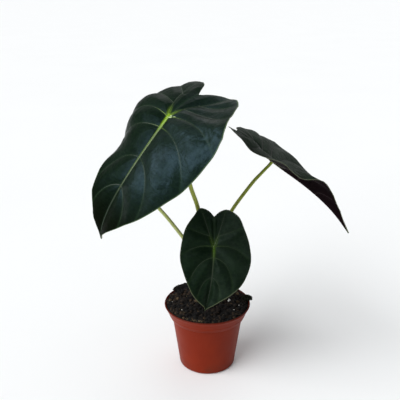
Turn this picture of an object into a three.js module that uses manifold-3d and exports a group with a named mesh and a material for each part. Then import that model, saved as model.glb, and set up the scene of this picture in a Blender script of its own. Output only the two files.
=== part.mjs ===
// A small potted alocasia: four heart-shaped leaves on thin stalks in a plastic nursery pot.
// Millimetres and degrees, +Z up, origin under the middle of the pot.

import * as THREE from 'three';
import { mergeVertices } from 'three/addons/utils/BufferGeometryUtils.js';
import Module from 'manifold-3d';

const wasm = await Module();
wasm.setup();

// Driving dimensions of the pot

const RIM_RADIUS = 40;
const POT_HEIGHT = 62;
const COLLAR_HEIGHT = 13;
const COLLAR_FOOT_RADIUS = 34.5;
const BODY_TOP_RADIUS = 32.7;
const BASE_RADIUS = 26.5;
const BASE_ROUNDING = 4;
const WALL = 1.0;
const FLOOR = 1.4;
const LIP = 0.6;
const CHANNEL_INNER = 12;
const CHANNEL_OUTER = 20.5;
const CHANNEL_LIFT = 1.5;
const DRAIN_COUNT = 6;
const DRAIN_RADIUS = 3;
const POT_SEGMENTS = 40;

// Driving dimensions of the soil

const CLEARANCE = 0.35;
const SOIL_EDGE_HEIGHT = 60.6;
const SOIL_CROWNING = 2.2;
const SOIL_ROUGHNESS = 0.7;
const SOIL_RINGS = 7;
const CRUMB_COUNT = 52;
const CRUMB_SMALLEST = 1.1;
const CRUMB_LARGEST = 3.2;
const CRUMB_FLATTEST = 0.5;
const CRUMB_LIFT = 0.2;
const SEED = 20;

// Moss that has grown over the rim at the right, and a heap with a clod on it at the back left
const RIM_LUMPS = [
  { at: [37.6, 4.6, 62.9], size: [5, 4, 3] },
  { at: [-19, 29.5, 62.4], size: [9, 6, 2.2] },
  { at: [-30.2, 22.4, 63.2], size: [3.6, 3.4, 3.2] },
];

// Driving dimensions of the crown: the short stem and the bundled sheaths of the leaf stalks

const CROWN_FOOT = 45;
const CROWN_SHOULDER = 66;
const CROWN_RADIUS = 7.8;
const SHEATH_START = 56;
const SHEATH_RADIUS = 3.7;
const SHEATH_WALL = 0.55;
const SOCKET_FLOOR = 74;
const STALK_SPREAD = 4.2;

// The blade of a leaf is described flat, then bent.
// Along the midrib, 0 is where the stalk joins, 1 the tip and -1 the end of the basal lobes.
const STATIONS = [-1, -0.5, 0, 0.35, 0.7, 1];

// Half outline of a grown leaf from tip to lobe: [share of half width, share of length]
const GROWN_HALF = [
  [0, 1], [0.07, 0.9], [0.3, 0.72], [0.66, 0.47], [0.92, 0.22],
  [1, 0], [0.93, -0.45], [0.7, -0.82], [0.42, -1], [0.17, -0.93],
];
// A grown leaf with a longer drip tip
const DRIPPING_HALF = [[0, 1], [0.03, 0.92], [0.09, 0.84], [0.3, 0.7], ...GROWN_HALF.slice(3)];
// The young front leaf is egg-shaped and a little fuller on one side
const YOUNG_LEFT_HALF = [
  [0, 1], [0.08, 0.9], [0.34, 0.72], [0.79, 0.47], [0.99, 0.22],
  [0.95, 0], [0.8, -0.45], [0.66, -0.82], [0.41, -1], [0.18, -0.93],
];
const YOUNG_RIGHT_HALF = [
  [0, 1], [0.07, 0.9], [0.41, 0.72], [0.7, 0.47], [0.88, 0.22],
  [0.87, 0], [0.75, -0.45], [0.51, -0.82], [0.37, -1], [0.15, -0.93],
];

// Main side veins of one half, each [start, pull, end] in the same shares
const GROWN_VEINS = [
  [[0, 0], [0.13, -0.35], [0.34, -0.95]],
  [[0.1, -0.27], [0.45, -0.36], [0.9, -0.5]],
  [[0.17, -0.52], [0.38, -0.66], [0.66, -0.85]],
  [[0, -0.02], [0.45, -0.17], [0.97, 0.08]],
  [[0, 0.07], [0.62, 0.1], [0.84, 0.34]],
  [[0, 0.29], [0.5, 0.34], [0.46, 0.64]],
  [[0, 0.5], [0.27, 0.55], [0.27, 0.77]],
];
const YOUNG_VEINS = [
  [[0, 0], [0.13, -0.35], [0.32, -0.94]],
  [[0.1, -0.27], [0.4, -0.36], [0.74, -0.5]],
  [[0, -0.01], [0.45, -0.12], [0.9, 0.14]],
  [[0, 0.14], [0.45, 0.17], [0.6, 0.58]],
  [[0, 0.42], [0.28, 0.47], [0.3, 0.76]],
];

// One entry per leaf, lengths in mm and angles in degrees.
// bend, sweep and twist turn the midrib: [over the lobes, towards the tip, its square].
// fold is the blade's slope beside the midrib and edge its slope at the margin, by station,
// on the left and right half as seen from above with the tip ahead.
const LEAVES = {
  large: {
    junction: [-32.2, -42, 244.9],
    heading: 128.5,
    pitch: -44,
    roll: -14.5,
    tipLength: 128,
    lobeLength: 51,
    sinus: 35,
    halfWidth: 59,
    outline: { left: GROWN_HALF, right: GROWN_HALF },
    veins: GROWN_VEINS,
    bend: [-49.5, 31.5, 33.5],
    sweep: [-17.5, -22, -19],
    twist: [8, -3, -8.5],
    fold: { left: [0, -25, 11, 16, -5, -3], right: [23, 2, 18, 1, 32, 12] },
    edge: { left: [36, 45, -3, -44, -38, -31], right: [-92, -42, -62, -69, -70, -34] },
    thickness: 0.9,
    quilting: 1.3,
    spokes: 60,
    rings: 10,
    stalk: {
      foot: 220,
      through: [[-5.6, -10, 130], [-8.3, -15, 159], [-14.6, -22, 182.1], [-22, -29.5, 213]],
      radius: [2.2, 1.6],
      sheathTop: 98,
    },
  },
  right: {
    junction: [57.5, 12, 195.5],
    heading: -92.5,
    pitch: -35,
    roll: -4,
    tipLength: 94.5,
    lobeLength: 46.5,
    sinus: 42,
    halfWidth: 47,
    outline: { left: DRIPPING_HALF, right: DRIPPING_HALF },
    veins: GROWN_VEINS,
    bend: [3.5, -5, 25.5],
    sweep: [-17.5, -24.5, -24.5],
    twist: [1, -13.5, -16],
    fold: { left: [4, 31, 22, 15, 42, 13], right: [8, 28, 4, 40, 21, 28] },
    edge: { left: [7, -16, 3, 20, -4, -20], right: [-1, -31, 15, -42, 23, -3] },
    thickness: 0.8,
    quilting: 0.8,
    spokes: 52,
    rings: 9,
    stalk: {
      foot: 30,
      through: [[6.5, 2.6, 108], [12, 3, 130], [21.3, 4, 151], [38.4, 8, 174.6], [47.2, 10, 184.2]],
      radius: [2.1, 1.3],
      sheathTop: 94,
    },
  },
  front: {
    junction: [5.1, -29, 130.1],
    heading: 178.5,
    pitch: -70,
    roll: 2,
    tipLength: 63,
    lobeLength: 35.5,
    sinus: 27,
    halfWidth: 33.5,
    outline: { left: YOUNG_LEFT_HALF, right: YOUNG_RIGHT_HALF },
    veins: YOUNG_VEINS,
    bend: [23.5, 14.5, 30.5],
    sweep: [-0.5, -16, -2.5],
    twist: [2.5, -2, -1.5],
    fold: { left: [30, 19, 12, 13, 21, 19], right: [19, 16, 16, 13, 23, 26] },
    edge: { left: [-17, -13, -27, -29, -9, -11], right: [-6, -19, -23, -27, -11, -9] },
    thickness: 0.7,
    quilting: 0.6,
    spokes: 44,
    rings: 7,
    stalk: {
      foot: 310,
      through: [[3.4, -6.5, 104], [4.4, -13, 122]],
      radius: [1.8, 1.2],
      sheathTop: 88,
    },
  },
  rear: {
    junction: [-63, 29, 168],
    heading: 62,
    pitch: -42,
    roll: 4,
    tipLength: 56,
    lobeLength: 30,
    sinus: 21,
    halfWidth: 28,
    outline: { left: GROWN_HALF, right: GROWN_HALF },
    veins: YOUNG_VEINS,
    bend: [6, 14, 16],
    sweep: [4, 8, 4],
    twist: [0, 4, 2],
    fold: { left: [14, 14, 12, 12, 14, 14], right: [14, 14, 12, 12, 14, 14] },
    edge: { left: [-18, -20, -26, -26, -18, -12], right: [-12, -16, -26, -28, -18, -12] },
    thickness: 0.7,
    quilting: 0.6,
    spokes: 40,
    rings: 6,
    stalk: {
      foot: 130,
      through: [[-10.5, 5, 106], [-20.6, 7, 121.6], [-36.1, 14, 140], [-50, 21.5, 153.5]],
      radius: [2.0, 1.5],
      sheathTop: 90,
    },
  },
};

const OUTLINE_STEPS = 12;
const MIDRIB_STEPS = 60;
const BULGE_REACH = 6;
const RIB_HEIGHT = 0.7;
const RIB_REACH = 1.5;
const GROOVE_DEPTH = 0.3;
const STALK_SIDES = 8;
const STALK_GAP = 0.3;
const STALK_NECK = 3;
const STALK_STEPS = 3;

// Colours, roughness

const LOOKS = {
  pot: { color: 0xa4512c, roughness: 0.5 },
  soil: { color: 0x2a211b, roughness: 0.95 },
  crown: { color: 0x6f7a45, roughness: 0.55 },
  petiole: { color: 0x7c8a48, roughness: 0.5 },
  blade: { color: 0x34463a, roughness: 0.35 },
};

// General helpers

// Small repeatable random numbers between 0 and 1
function seededRandom(seed) {
  let state = seed;
  return () => {
    state = (state * 1664525 + 1013904223) % 4294967296;
    return state / 4294967296;
  };
}

const radians = THREE.MathUtils.degToRad;

// A smooth open curve through points of any dimension, as a list of points
function throughPoints(points, steps) {
  const first = points[0].map((value, axis) => 2 * value - points[1][axis]);
  const lastPoint = points.at(-1);
  const last = lastPoint.map((value, axis) => 2 * value - points.at(-2)[axis]);
  const all = [first, ...points, last];
  const curve = [];
  for (let span = 1; span < all.length - 2; span += 1) {
    const [a, b, c, d] = all.slice(span - 1, span + 3);
    for (let step = 0; step < steps; step += 1) {
      const t = step / steps;
      curve.push(b.map((_, axis) => 0.5 * (2 * b[axis] + (c[axis] - a[axis]) * t
        + (2 * a[axis] - 5 * b[axis] + 4 * c[axis] - d[axis]) * t * t
        + (3 * b[axis] - a[axis] - 3 * c[axis] + d[axis]) * t * t * t)));
    }
  }
  curve.push([...lastPoint]);
  return curve;
}

// Points at equal distances along a polyline, ends included
function evenlySpaced(curve, count) {
  const lengths = [0];
  for (let i = 1; i < curve.length; i += 1) {
    const gap = Math.hypot(...curve[i].map((value, axis) => value - curve[i - 1][axis]));
    lengths.push(lengths[i - 1] + gap);
  }
  const points = [];
  let span = 1;
  for (let i = 0; i <= count; i += 1) {
    const target = (lengths.at(-1) * i) / count;
    while (span < curve.length - 1 && lengths[span] < target) {
      span += 1;
    }
    const t = (target - lengths[span - 1]) / (lengths[span] - lengths[span - 1]);
    points.push(curve[span].map((value, axis) => THREE.MathUtils.lerp(curve[span - 1][axis], value, t)));
  }
  return points;
}

// A closed geometry from rings of points that are joined one to the next and capped at both ends
function lofted(rings) {
  const sides = rings[0].length;
  const positions = rings.flat();
  const faces = [];
  for (let ring = 0; ring < rings.length - 1; ring += 1) {
    for (let side = 0; side < sides; side += 1) {
      const a = ring * sides + side;
      const b = ring * sides + ((side + 1) % sides);
      faces.push([a, b, b + sides], [a, b + sides, a + sides]);
    }
  }
  const top = (rings.length - 1) * sides;
  for (let side = 1; side < sides - 1; side += 1) {
    faces.push([0, side + 1, side], [top, top + side, top + side + 1]);
  }
  return facesToGeometry(positions, faces);
}

function facesToGeometry(positions, faces) {
  const geometry = new THREE.BufferGeometry();
  geometry.setAttribute('position', new THREE.Float32BufferAttribute(positions.flat(), 3));
  geometry.setIndex(faces.flat());
  return geometry;
}

// Solids for joining and cutting

function toSolid(geometry) {
  const bare = geometry.clone();
  bare.deleteAttribute('normal');
  bare.deleteAttribute('uv');
  const merged = mergeVertices(bare, 1e-4);
  const corners = merged.index.array;
  const kept = [];
  for (let i = 0; i < corners.length; i += 3) {
    const [a, b, c] = corners.slice(i, i + 3);
    if (a !== b && b !== c && c !== a) {
      kept.push(a, b, c);
    }
  }
  return new wasm.Manifold(new wasm.Mesh({
    numProp: 3,
    vertProperties: merged.attributes.position.array,
    triVerts: new Uint32Array(kept),
  }));
}

function toGeometry(solid) {
  const mesh = solid.getMesh();
  const geometry = new THREE.BufferGeometry();
  geometry.setAttribute('position', new THREE.BufferAttribute(mesh.vertProperties, 3));
  geometry.setIndex(new THREE.BufferAttribute(mesh.triVerts, 1));
  return geometry;
}

function joined(solids) {
  return solids.reduce((whole, solid) => whole.add(solid));
}

// A turned shape from a profile of [radius, height], standing along Z
function turned(profile, segments) {
  const points = profile.map(([radius, height]) => new THREE.Vector2(radius, height));
  return new THREE.LatheGeometry(points, segments).rotateX(Math.PI / 2);
}

// The pot

function bodyRadius(height) {
  const top = POT_HEIGHT - COLLAR_HEIGHT;
  const share = (height - BASE_ROUNDING) / (top - BASE_ROUNDING);
  return THREE.MathUtils.lerp(BASE_RADIUS, BODY_TOP_RADIUS, share);
}

function collarRadius(height) {
  const share = (height - POT_HEIGHT + COLLAR_HEIGHT) / COLLAR_HEIGHT;
  return THREE.MathUtils.lerp(COLLAR_FOOT_RADIUS, RIM_RADIUS, share);
}

function potProfile() {
  const collarFoot = POT_HEIGHT - COLLAR_HEIGHT;
  const corner = BASE_ROUNDING * (1 - Math.SQRT1_2);
  return [
    [0, 0],
    [CHANNEL_INNER, 0],
    [CHANNEL_INNER + 1, CHANNEL_LIFT],
    [CHANNEL_OUTER - 1, CHANNEL_LIFT],
    [CHANNEL_OUTER, 0],
    [BASE_RADIUS - BASE_ROUNDING, 0],
    [BASE_RADIUS - corner, corner],
    [BASE_RADIUS, BASE_ROUNDING],
    [BODY_TOP_RADIUS, collarFoot],
    [COLLAR_FOOT_RADIUS, collarFoot + 0.4],
    [RIM_RADIUS, POT_HEIGHT - LIP],
    [RIM_RADIUS - LIP, POT_HEIGHT],
    [RIM_RADIUS - WALL, POT_HEIGHT],
    [collarRadius(POT_HEIGHT - 2) - WALL, POT_HEIGHT - 2],
    [COLLAR_FOOT_RADIUS - WALL, collarFoot + 1.2],
    [BODY_TOP_RADIUS - WALL, collarFoot - 0.6],
    [BASE_RADIUS - WALL, BASE_ROUNDING + 0.3],
    [BASE_RADIUS - BASE_ROUNDING + 1, FLOOR],
    [CHANNEL_OUTER + 0.4, FLOOR],
    [CHANNEL_OUTER - 0.6, FLOOR + CHANNEL_LIFT],
    [CHANNEL_INNER + 0.6, FLOOR + CHANNEL_LIFT],
    [CHANNEL_INNER - 0.4, FLOOR],
    [0, FLOOR],
  ];
}

function drainHole(index) {
  const angle = (index / DRAIN_COUNT) * 2 * Math.PI;
  const ring = (CHANNEL_INNER + CHANNEL_OUTER) / 2;
  const depth = 4 * FLOOR;
  const hole = new THREE.CylinderGeometry(DRAIN_RADIUS, DRAIN_RADIUS, depth, 16);
  hole.rotateX(Math.PI / 2);
  hole.translate(ring * Math.cos(angle), ring * Math.sin(angle), FLOOR + CHANNEL_LIFT / 2);
  return toSolid(hole);
}

function potGeometry() {
  const wall = toSolid(turned(potProfile(), POT_SEGMENTS));
  const holes = Array.from({ length: DRAIN_COUNT }, (_, index) => drainHole(index));
  return toGeometry(wall.subtract(joined(holes)));
}

// The soil

function soilSurface(x, y) {
  const share = Math.hypot(x, y) / RIM_RADIUS;
  const swell = SOIL_CROWNING * (1 - share * share);
  const uneven = Math.sin(0.31 * x + 1.7) * Math.cos(0.27 * y - 0.4) + 0.6 * Math.sin(0.52 * (x - y));
  return SOIL_EDGE_HEIGHT + swell + SOIL_ROUGHNESS * uneven * (1 - share ** 4);
}

function soilBodyGeometry() {
  const floor = FLOOR + CHANNEL_LIFT + CLEARANCE;
  const step = POT_HEIGHT - COLLAR_HEIGHT;
  const inset = WALL + CLEARANCE;
  const sideProfile = [
    [BASE_RADIUS - BASE_ROUNDING, floor],
    [bodyRadius(BASE_ROUNDING + 4) - inset - 0.5, BASE_ROUNDING + 4],
    [BODY_TOP_RADIUS - inset, step - 0.8],
    [COLLAR_FOOT_RADIUS - inset, step + 1.6],
  ];
  const edgeRadius = collarRadius(SOIL_EDGE_HEIGHT) - inset;
  const angles = Array.from({ length: POT_SEGMENTS }, (_, i) => (i / POT_SEGMENTS) * 2 * Math.PI);
  const ringAt = (radius, height) => angles.map((angle) => {
    const x = radius * Math.cos(angle);
    const y = radius * Math.sin(angle);
    return [x, y, height ?? soilSurface(x, y)];
  });
  const rings = sideProfile.map(([radius, height]) => ringAt(radius, height));
  for (let i = SOIL_RINGS; i >= 1; i -= 1) {
    rings.push(ringAt((edgeRadius * i) / SOIL_RINGS));
  }
  return lofted(rings);
}

function crumbSolid(at, size, random) {
  const crumb = new THREE.IcosahedronGeometry(size, 0);
  const squash = () => THREE.MathUtils.lerp(CRUMB_FLATTEST, 1, random());
  crumb.scale(squash(), squash(), squash());
  crumb.rotateX(random() * Math.PI);
  crumb.rotateZ(random() * Math.PI);
  crumb.translate(...at);
  return toSolid(crumb);
}

function soilCrumbs() {
  const random = seededRandom(SEED);
  const crumbs = [];
  const edge = RIM_RADIUS - WALL - 2 * CLEARANCE - 0.6;
  while (crumbs.length < CRUMB_COUNT) {
    const size = THREE.MathUtils.lerp(CRUMB_SMALLEST, CRUMB_LARGEST, random() ** 2);
    const angle = random() * 2 * Math.PI;
    const reach = Math.sqrt(random()) * (edge - size);
    const x = reach * Math.cos(angle);
    const y = reach * Math.sin(angle);
    if (reach > CROWN_RADIUS + size + 1) {
      crumbs.push(crumbSolid([x, y, soilSurface(x, y) + CRUMB_LIFT * size], size, random));
    }
  }
  return crumbs;
}

// What has grown or spilled over the rim lies just clear of it and hangs on to the soil inside
function rimLumps() {
  const random = seededRandom(SEED + 1);
  const clear = POT_HEIGHT + CLEARANCE;
  const above = new THREE.BoxGeometry(4 * RIM_RADIUS, 4 * RIM_RADIUS, 20).translate(0, 0, clear + 10);
  const inside = turned([[0, 50], [RIM_RADIUS - 3, 50], [RIM_RADIUS - 3, 70], [0, 70]], POT_SEGMENTS);
  const room = toSolid(above).add(toSolid(inside));
  return RIM_LUMPS.map(({ at, size }) => {
    const lump = new THREE.IcosahedronGeometry(1, 1);
    lump.rotateZ(random());
    lump.scale(...size);
    lump.translate(...at);
    return toSolid(lump).intersect(room);
  });
}

function soilGeometry() {
  const body = joined([toSolid(soilBodyGeometry()), ...soilCrumbs(), ...rimLumps()]);
  const holeRadius = CROWN_RADIUS + CLEARANCE;
  const holeFloor = CROWN_FOOT - CLEARANCE;
  const hole = turned([[0, holeFloor], [holeRadius, holeFloor], [holeRadius, 80], [0, 80]], 24);
  return toGeometry(body.subtract(toSolid(hole)));
}

// The form of a blade

// A smooth value at v, from one value per station
function betweenStations(values, v) {
  const slope = (i) => {
    const before = Math.max(i - 1, 0);
    const after = Math.min(i + 1, values.length - 1);
    return (values[after] - values[before]) / (STATIONS[after] - STATIONS[before]);
  };
  const inside = THREE.MathUtils.clamp(v, -1, 1);
  let i = 0;
  while (i < STATIONS.length - 2 && inside >= STATIONS[i + 1]) {
    i += 1;
  }
  const width = STATIONS[i + 1] - STATIONS[i];
  const t = (inside - STATIONS[i]) / width;
  return (2 * t ** 3 - 3 * t ** 2 + 1) * values[i] + (t ** 3 - 2 * t ** 2 + t) * width * slope(i)
    + (3 * t ** 2 - 2 * t ** 3) * values[i + 1] + (t ** 3 - t ** 2) * width * slope(i + 1);
}

function lengthShare(leaf, y) {
  return y < 0 ? y / leaf.lobeLength : y / leaf.tipLength;
}

// Place and directions of the midrib at even steps from the lobes to the tip
function midribFrames(leaf) {
  const along = (terms, v) => radians(v < 0 ? -terms[0] * v : terms[1] * v + terms[2] * v * v);
  const lowest = -1.05 * leaf.lobeLength;
  const step = (1.02 * leaf.tipLength - lowest) / MIDRIB_STEPS;
  const frames = [];
  for (let i = 0; i <= MIDRIB_STEPS; i += 1) {
    const y = lowest + i * step;
    const v = lengthShare(leaf, y);
    const turn = new THREE.Euler(-along(leaf.bend, v), along(leaf.twist, v), along(leaf.sweep, v), 'ZXY');
    const across = new THREE.Vector3(1, 0, 0).applyEuler(turn);
    const ahead = new THREE.Vector3(0, 1, 0).applyEuler(turn);
    const up = new THREE.Vector3(0, 0, 1).applyEuler(turn);
    const at = new THREE.Vector3();
    if (i > 0) {
      const before = frames[i - 1];
      at.copy(before.ahead).add(ahead).multiplyScalar(step / 2).add(before.at);
    }
    frames.push({ at, across, ahead, up });
  }
  return { lowest, step, frames };
}

function distanceToSegment(x, y, [ax, ay], [bx, by]) {
  const dx = bx - ax;
  const dy = by - ay;
  const t = THREE.MathUtils.clamp(((x - ax) * dx + (y - ay) * dy) / (dx * dx + dy * dy), 0, 1);
  return Math.hypot(x - ax - t * dx, y - ay - t * dy);
}

// The veins of one half as polylines in flat millimetres
function veinLines(leaf) {
  const flat = ([across, along]) => [
    across * leaf.halfWidth,
    along * (along < 0 ? leaf.lobeLength : leaf.tipLength),
  ];
  const curves = leaf.veins.map((vein) => {
    const [start, pull, end] = vein.map(flat).map(([x, y]) => new THREE.Vector2(x, y));
    return new THREE.QuadraticBezierCurve(start, pull, end).getPoints(8).map((point) => point.toArray());
  });
  return [...curves, [[0, -leaf.sinus], [0, leaf.tipLength]]];
}

// Turns a flat place (x across, y along) on the blade into a place in space
function bladeForm(leaf) {
  const { lowest, step, frames } = midribFrames(leaf);
  const origin = new THREE.Vector3();
  const placing = new THREE.Euler(radians(leaf.pitch), radians(leaf.roll), radians(leaf.heading), 'ZXY');
  const junction = new THREE.Vector3(...leaf.junction);
  const veins = veinLines(leaf);

  const frameAt = (y) => {
    const place = THREE.MathUtils.clamp((y - lowest) / step, 0, MIDRIB_STEPS - 0.001);
    const before = frames[Math.floor(place)];
    const after = frames[Math.floor(place) + 1];
    const mix = (name) => before[name].clone().lerp(after[name], place % 1);
    return { at: mix('at'), across: mix('across'), up: mix('up') };
  };
  origin.copy(frameAt(0).at);

  // Between the veins the blade swells upwards, along them it sinks
  const bulge = (x, y) => {
    let nearest = Infinity;
    for (const line of veins) {
      for (let i = 1; i < line.length; i += 1) {
        nearest = Math.min(nearest, distanceToSegment(Math.abs(x), y, line[i - 1], line[i]));
      }
    }
    return leaf.quilting * (0.5 - Math.exp(-((nearest / BULGE_REACH) ** 2)));
  };

  return (x, y) => {
    const half = x < 0 ? 'left' : 'right';
    const v = lengthShare(leaf, y);
    const fold = radians(betweenStations(leaf.fold[half], v));
    const edge = radians(betweenStations(leaf.edge[half], v));
    const curl = (edge - fold) / leaf.halfWidth || 1e-6;
    const reach = Math.abs(x);
    const out = (Math.sign(x) * (Math.sin(fold + curl * reach) - Math.sin(fold))) / curl;
    const rise = (Math.cos(fold) - Math.cos(fold + curl * reach)) / curl + bulge(x, y);
    const frame = frameAt(y);
    return frame.at.sub(origin)
      .addScaledVector(frame.across, out)
      .addScaledVector(frame.up, rise)
      .applyEuler(placing)
      .add(junction);
  };
}

function upperNormal(form, x, y) {
  const reach = 0.4;
  const across = form(x + reach, y).sub(form(x - reach, y));
  const ahead = form(x, y + reach).sub(form(x, y - reach));
  return across.cross(ahead).normalize();
}

// Flat outline all the way round, counterclockwise from the tip: left half, then right half
function bladeOutline(leaf) {
  const halfCount = leaf.spokes / 2;
  const half = (side, sign) => {
    const points = leaf.outline[side].map(([across, along]) => [
      sign * across * leaf.halfWidth,
      along * (along < 0 ? leaf.lobeLength : leaf.tipLength),
    ]);
    return evenlySpaced(throughPoints([...points, [0, -leaf.sinus]], OUTLINE_STEPS), halfCount);
  };
  const left = half('left', -1);
  const right = half('right', 1).reverse();
  return [...left.slice(0, -1), ...right.slice(0, -1)];
}

// Two alike faces, one blade thickness apart, on a grid of spokes and rings round the junction
function bladeGeometry(leaf) {
  const form = bladeForm(leaf);
  const outline = bladeOutline(leaf);
  const { spokes, rings, thickness } = leaf;
  const upper = [];
  const lower = [];
  const addPlace = (x, y) => {
    const middle = form(x, y);
    const normal = upperNormal(form, x, y);
    const nearRib = Math.exp(-((x / RIB_REACH) ** 2));
    const top = thickness / 2 - GROOVE_DEPTH * nearRib;
    const bottom = -thickness / 2 - RIB_HEIGHT * nearRib;
    upper.push(middle.clone().addScaledVector(normal, top).toArray());
    lower.push(middle.clone().addScaledVector(normal, bottom).toArray());
  };
  addPlace(0, 0);
  for (let ring = 1; ring <= rings; ring += 1) {
    outline.forEach(([x, y]) => addPlace((x * ring) / rings, (y * ring) / rings));
  }
  const count = upper.length;
  const place = (ring, spoke) => (ring === 0 ? 0 : 1 + (ring - 1) * spokes + (spoke % spokes));
  const faces = [];
  const addFace = (a, b, c) => {
    faces.push([a, b, c], [a + count, c + count, b + count]);
  };
  for (let spoke = 0; spoke < spokes; spoke += 1) {
    addFace(0, place(1, spoke), place(1, spoke + 1));
    for (let ring = 1; ring < rings; ring += 1) {
      const corner = place(ring + 1, spoke + 1);
      addFace(place(ring, spoke), place(ring + 1, spoke), corner);
      addFace(place(ring, spoke), corner, place(ring, spoke + 1));
    }
    const a = place(rings, spoke);
    const b = place(rings, spoke + 1);
    faces.push([a, a + count, b + count], [a, b + count, b]);
  }
  return facesToGeometry([...upper, ...lower], faces);
}

// Leaf stalks

// The centre line of a stalk from its foot in the crown to the underside of its blade
function stalkLine(leaf) {
  const { foot, through } = leaf.stalk;
  const footX = STALK_SPREAD * Math.cos(radians(foot));
  const footY = STALK_SPREAD * Math.sin(radians(foot));
  const form = bladeForm(leaf);
  const normal = upperNormal(form, 0, 0);
  const top = form(0, 0).addScaledVector(normal, -(leaf.thickness / 2 + RIB_HEIGHT + STALK_GAP));
  const neck = top.clone().addScaledVector(normal, -STALK_NECK);
  const curve = throughPoints([
    [footX, footY, SHEATH_START],
    [footX, footY, SOCKET_FLOOR],
    [1.1 * footX, 1.1 * footY, leaf.stalk.sheathTop - 4],
    ...through,
    neck.toArray(),
  ], STALK_STEPS);
  return [...curve, top.toArray()];
}

// The part of a line above one height, starting exactly there
function lineFrom(line, height) {
  const next = line.findIndex((point) => point[2] > height);
  const before = line[next - 1];
  const share = (height - before[2]) / (line[next][2] - before[2]);
  const start = before.map((value, axis) => THREE.MathUtils.lerp(value, line[next][axis], share));
  return [start, ...line.slice(next)];
}

// The part of a line below one height, ending exactly there
function lineUpTo(line, height) {
  const next = line.findIndex((point) => point[2] > height);
  const before = line[next - 1];
  const share = (height - before[2]) / (line[next][2] - before[2]);
  const end = before.map((value, axis) => THREE.MathUtils.lerp(value, line[next][axis], share));
  return [...line.slice(0, next), end];
}

// A round rod along a line, its radius running evenly from the first to the second
function rodGeometry(line, radii) {
  const points = line.map((point) => new THREE.Vector3(...point));
  let across = new THREE.Vector3(1, 0, 0);
  const rings = points.map((point, i) => {
    const after = points[Math.min(i + 1, points.length - 1)];
    const before = points[Math.max(i - 1, 0)];
    const ahead = after.clone().sub(before).normalize();
    across = across.clone().addScaledVector(ahead, -across.dot(ahead)).normalize();
    const aside = ahead.clone().cross(across);
    const radius = THREE.MathUtils.lerp(radii[0], radii[1], i / (points.length - 1));
    return Array.from({ length: STALK_SIDES }, (_, side) => {
      const angle = (side / STALK_SIDES) * 2 * Math.PI;
      return point.clone()
        .addScaledVector(across, radius * Math.cos(angle))
        .addScaledVector(aside, radius * Math.sin(angle))
        .toArray();
    });
  });
  return lofted(rings);
}

function stalkGeometry(leaf) {
  const line = lineFrom(stalkLine(leaf), SOCKET_FLOOR + STALK_GAP);
  return rodGeometry(line, leaf.stalk.radius);
}

// The crown

function crownStem() {
  const rounding = 3;
  return toSolid(turned([
    [0, CROWN_FOOT],
    [CROWN_RADIUS - rounding, CROWN_FOOT],
    [CROWN_RADIUS, CROWN_FOOT + rounding],
    [CROWN_RADIUS, CROWN_SHOULDER],
    [CROWN_RADIUS - 2, CROWN_SHOULDER + 6],
    [STALK_SPREAD, SOCKET_FLOOR + 4],
    [0, SOCKET_FLOOR + 5],
  ], 24));
}

function crownGeometry() {
  const leaves = Object.values(LEAVES);
  const sheaths = leaves.map((leaf) => {
    const line = lineUpTo(stalkLine(leaf), leaf.stalk.sheathTop);
    return toSolid(rodGeometry(line, [SHEATH_RADIUS, leaf.stalk.radius[0] + STALK_GAP + SHEATH_WALL]));
  });
  const sockets = leaves.map((leaf) => {
    const line = lineFrom(lineUpTo(stalkLine(leaf), leaf.stalk.sheathTop + 4), SOCKET_FLOOR);
    const radius = leaf.stalk.radius[0] + STALK_GAP;
    return toSolid(rodGeometry(line, [radius, radius]));
  });
  return toGeometry(joined([crownStem(), ...sheaths]).subtract(joined(sockets)));
}

// The whole plant

function addPiece(group, name, geometry, look) {
  const material = new THREE.MeshStandardMaterial({ ...look, metalness: 0 });
  const mesh = new THREE.Mesh(geometry, material);
  mesh.name = name;
  group.add(mesh);
}

const group = new THREE.Group();
addPiece(group, 'pot', potGeometry(), LOOKS.pot);
addPiece(group, 'soil', soilGeometry(), LOOKS.soil);
addPiece(group, 'crown', crownGeometry(), LOOKS.crown);
for (const [name, leaf] of Object.entries(LEAVES)) {
  addPiece(group, `petiole_${name}`, stalkGeometry(leaf), LOOKS.petiole);
  addPiece(group, `blade_${name}`, bladeGeometry(leaf), LOOKS.blade);
}

export default group;
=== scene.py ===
# %% [markdown]
# # A potted alocasia, piece by piece
# The plant has four heart-shaped leaves on thin stalks, a sheathed crown, soil and a plastic pot.
# Each step below explains one piece or one finish of it and then makes it.
# The plain solids that hold the sizes are loaded first, and nothing here moves or changes them.
# Lengths are written in millimetres and become metres when a mesh is made.

# %% Load the frame
import math

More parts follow.
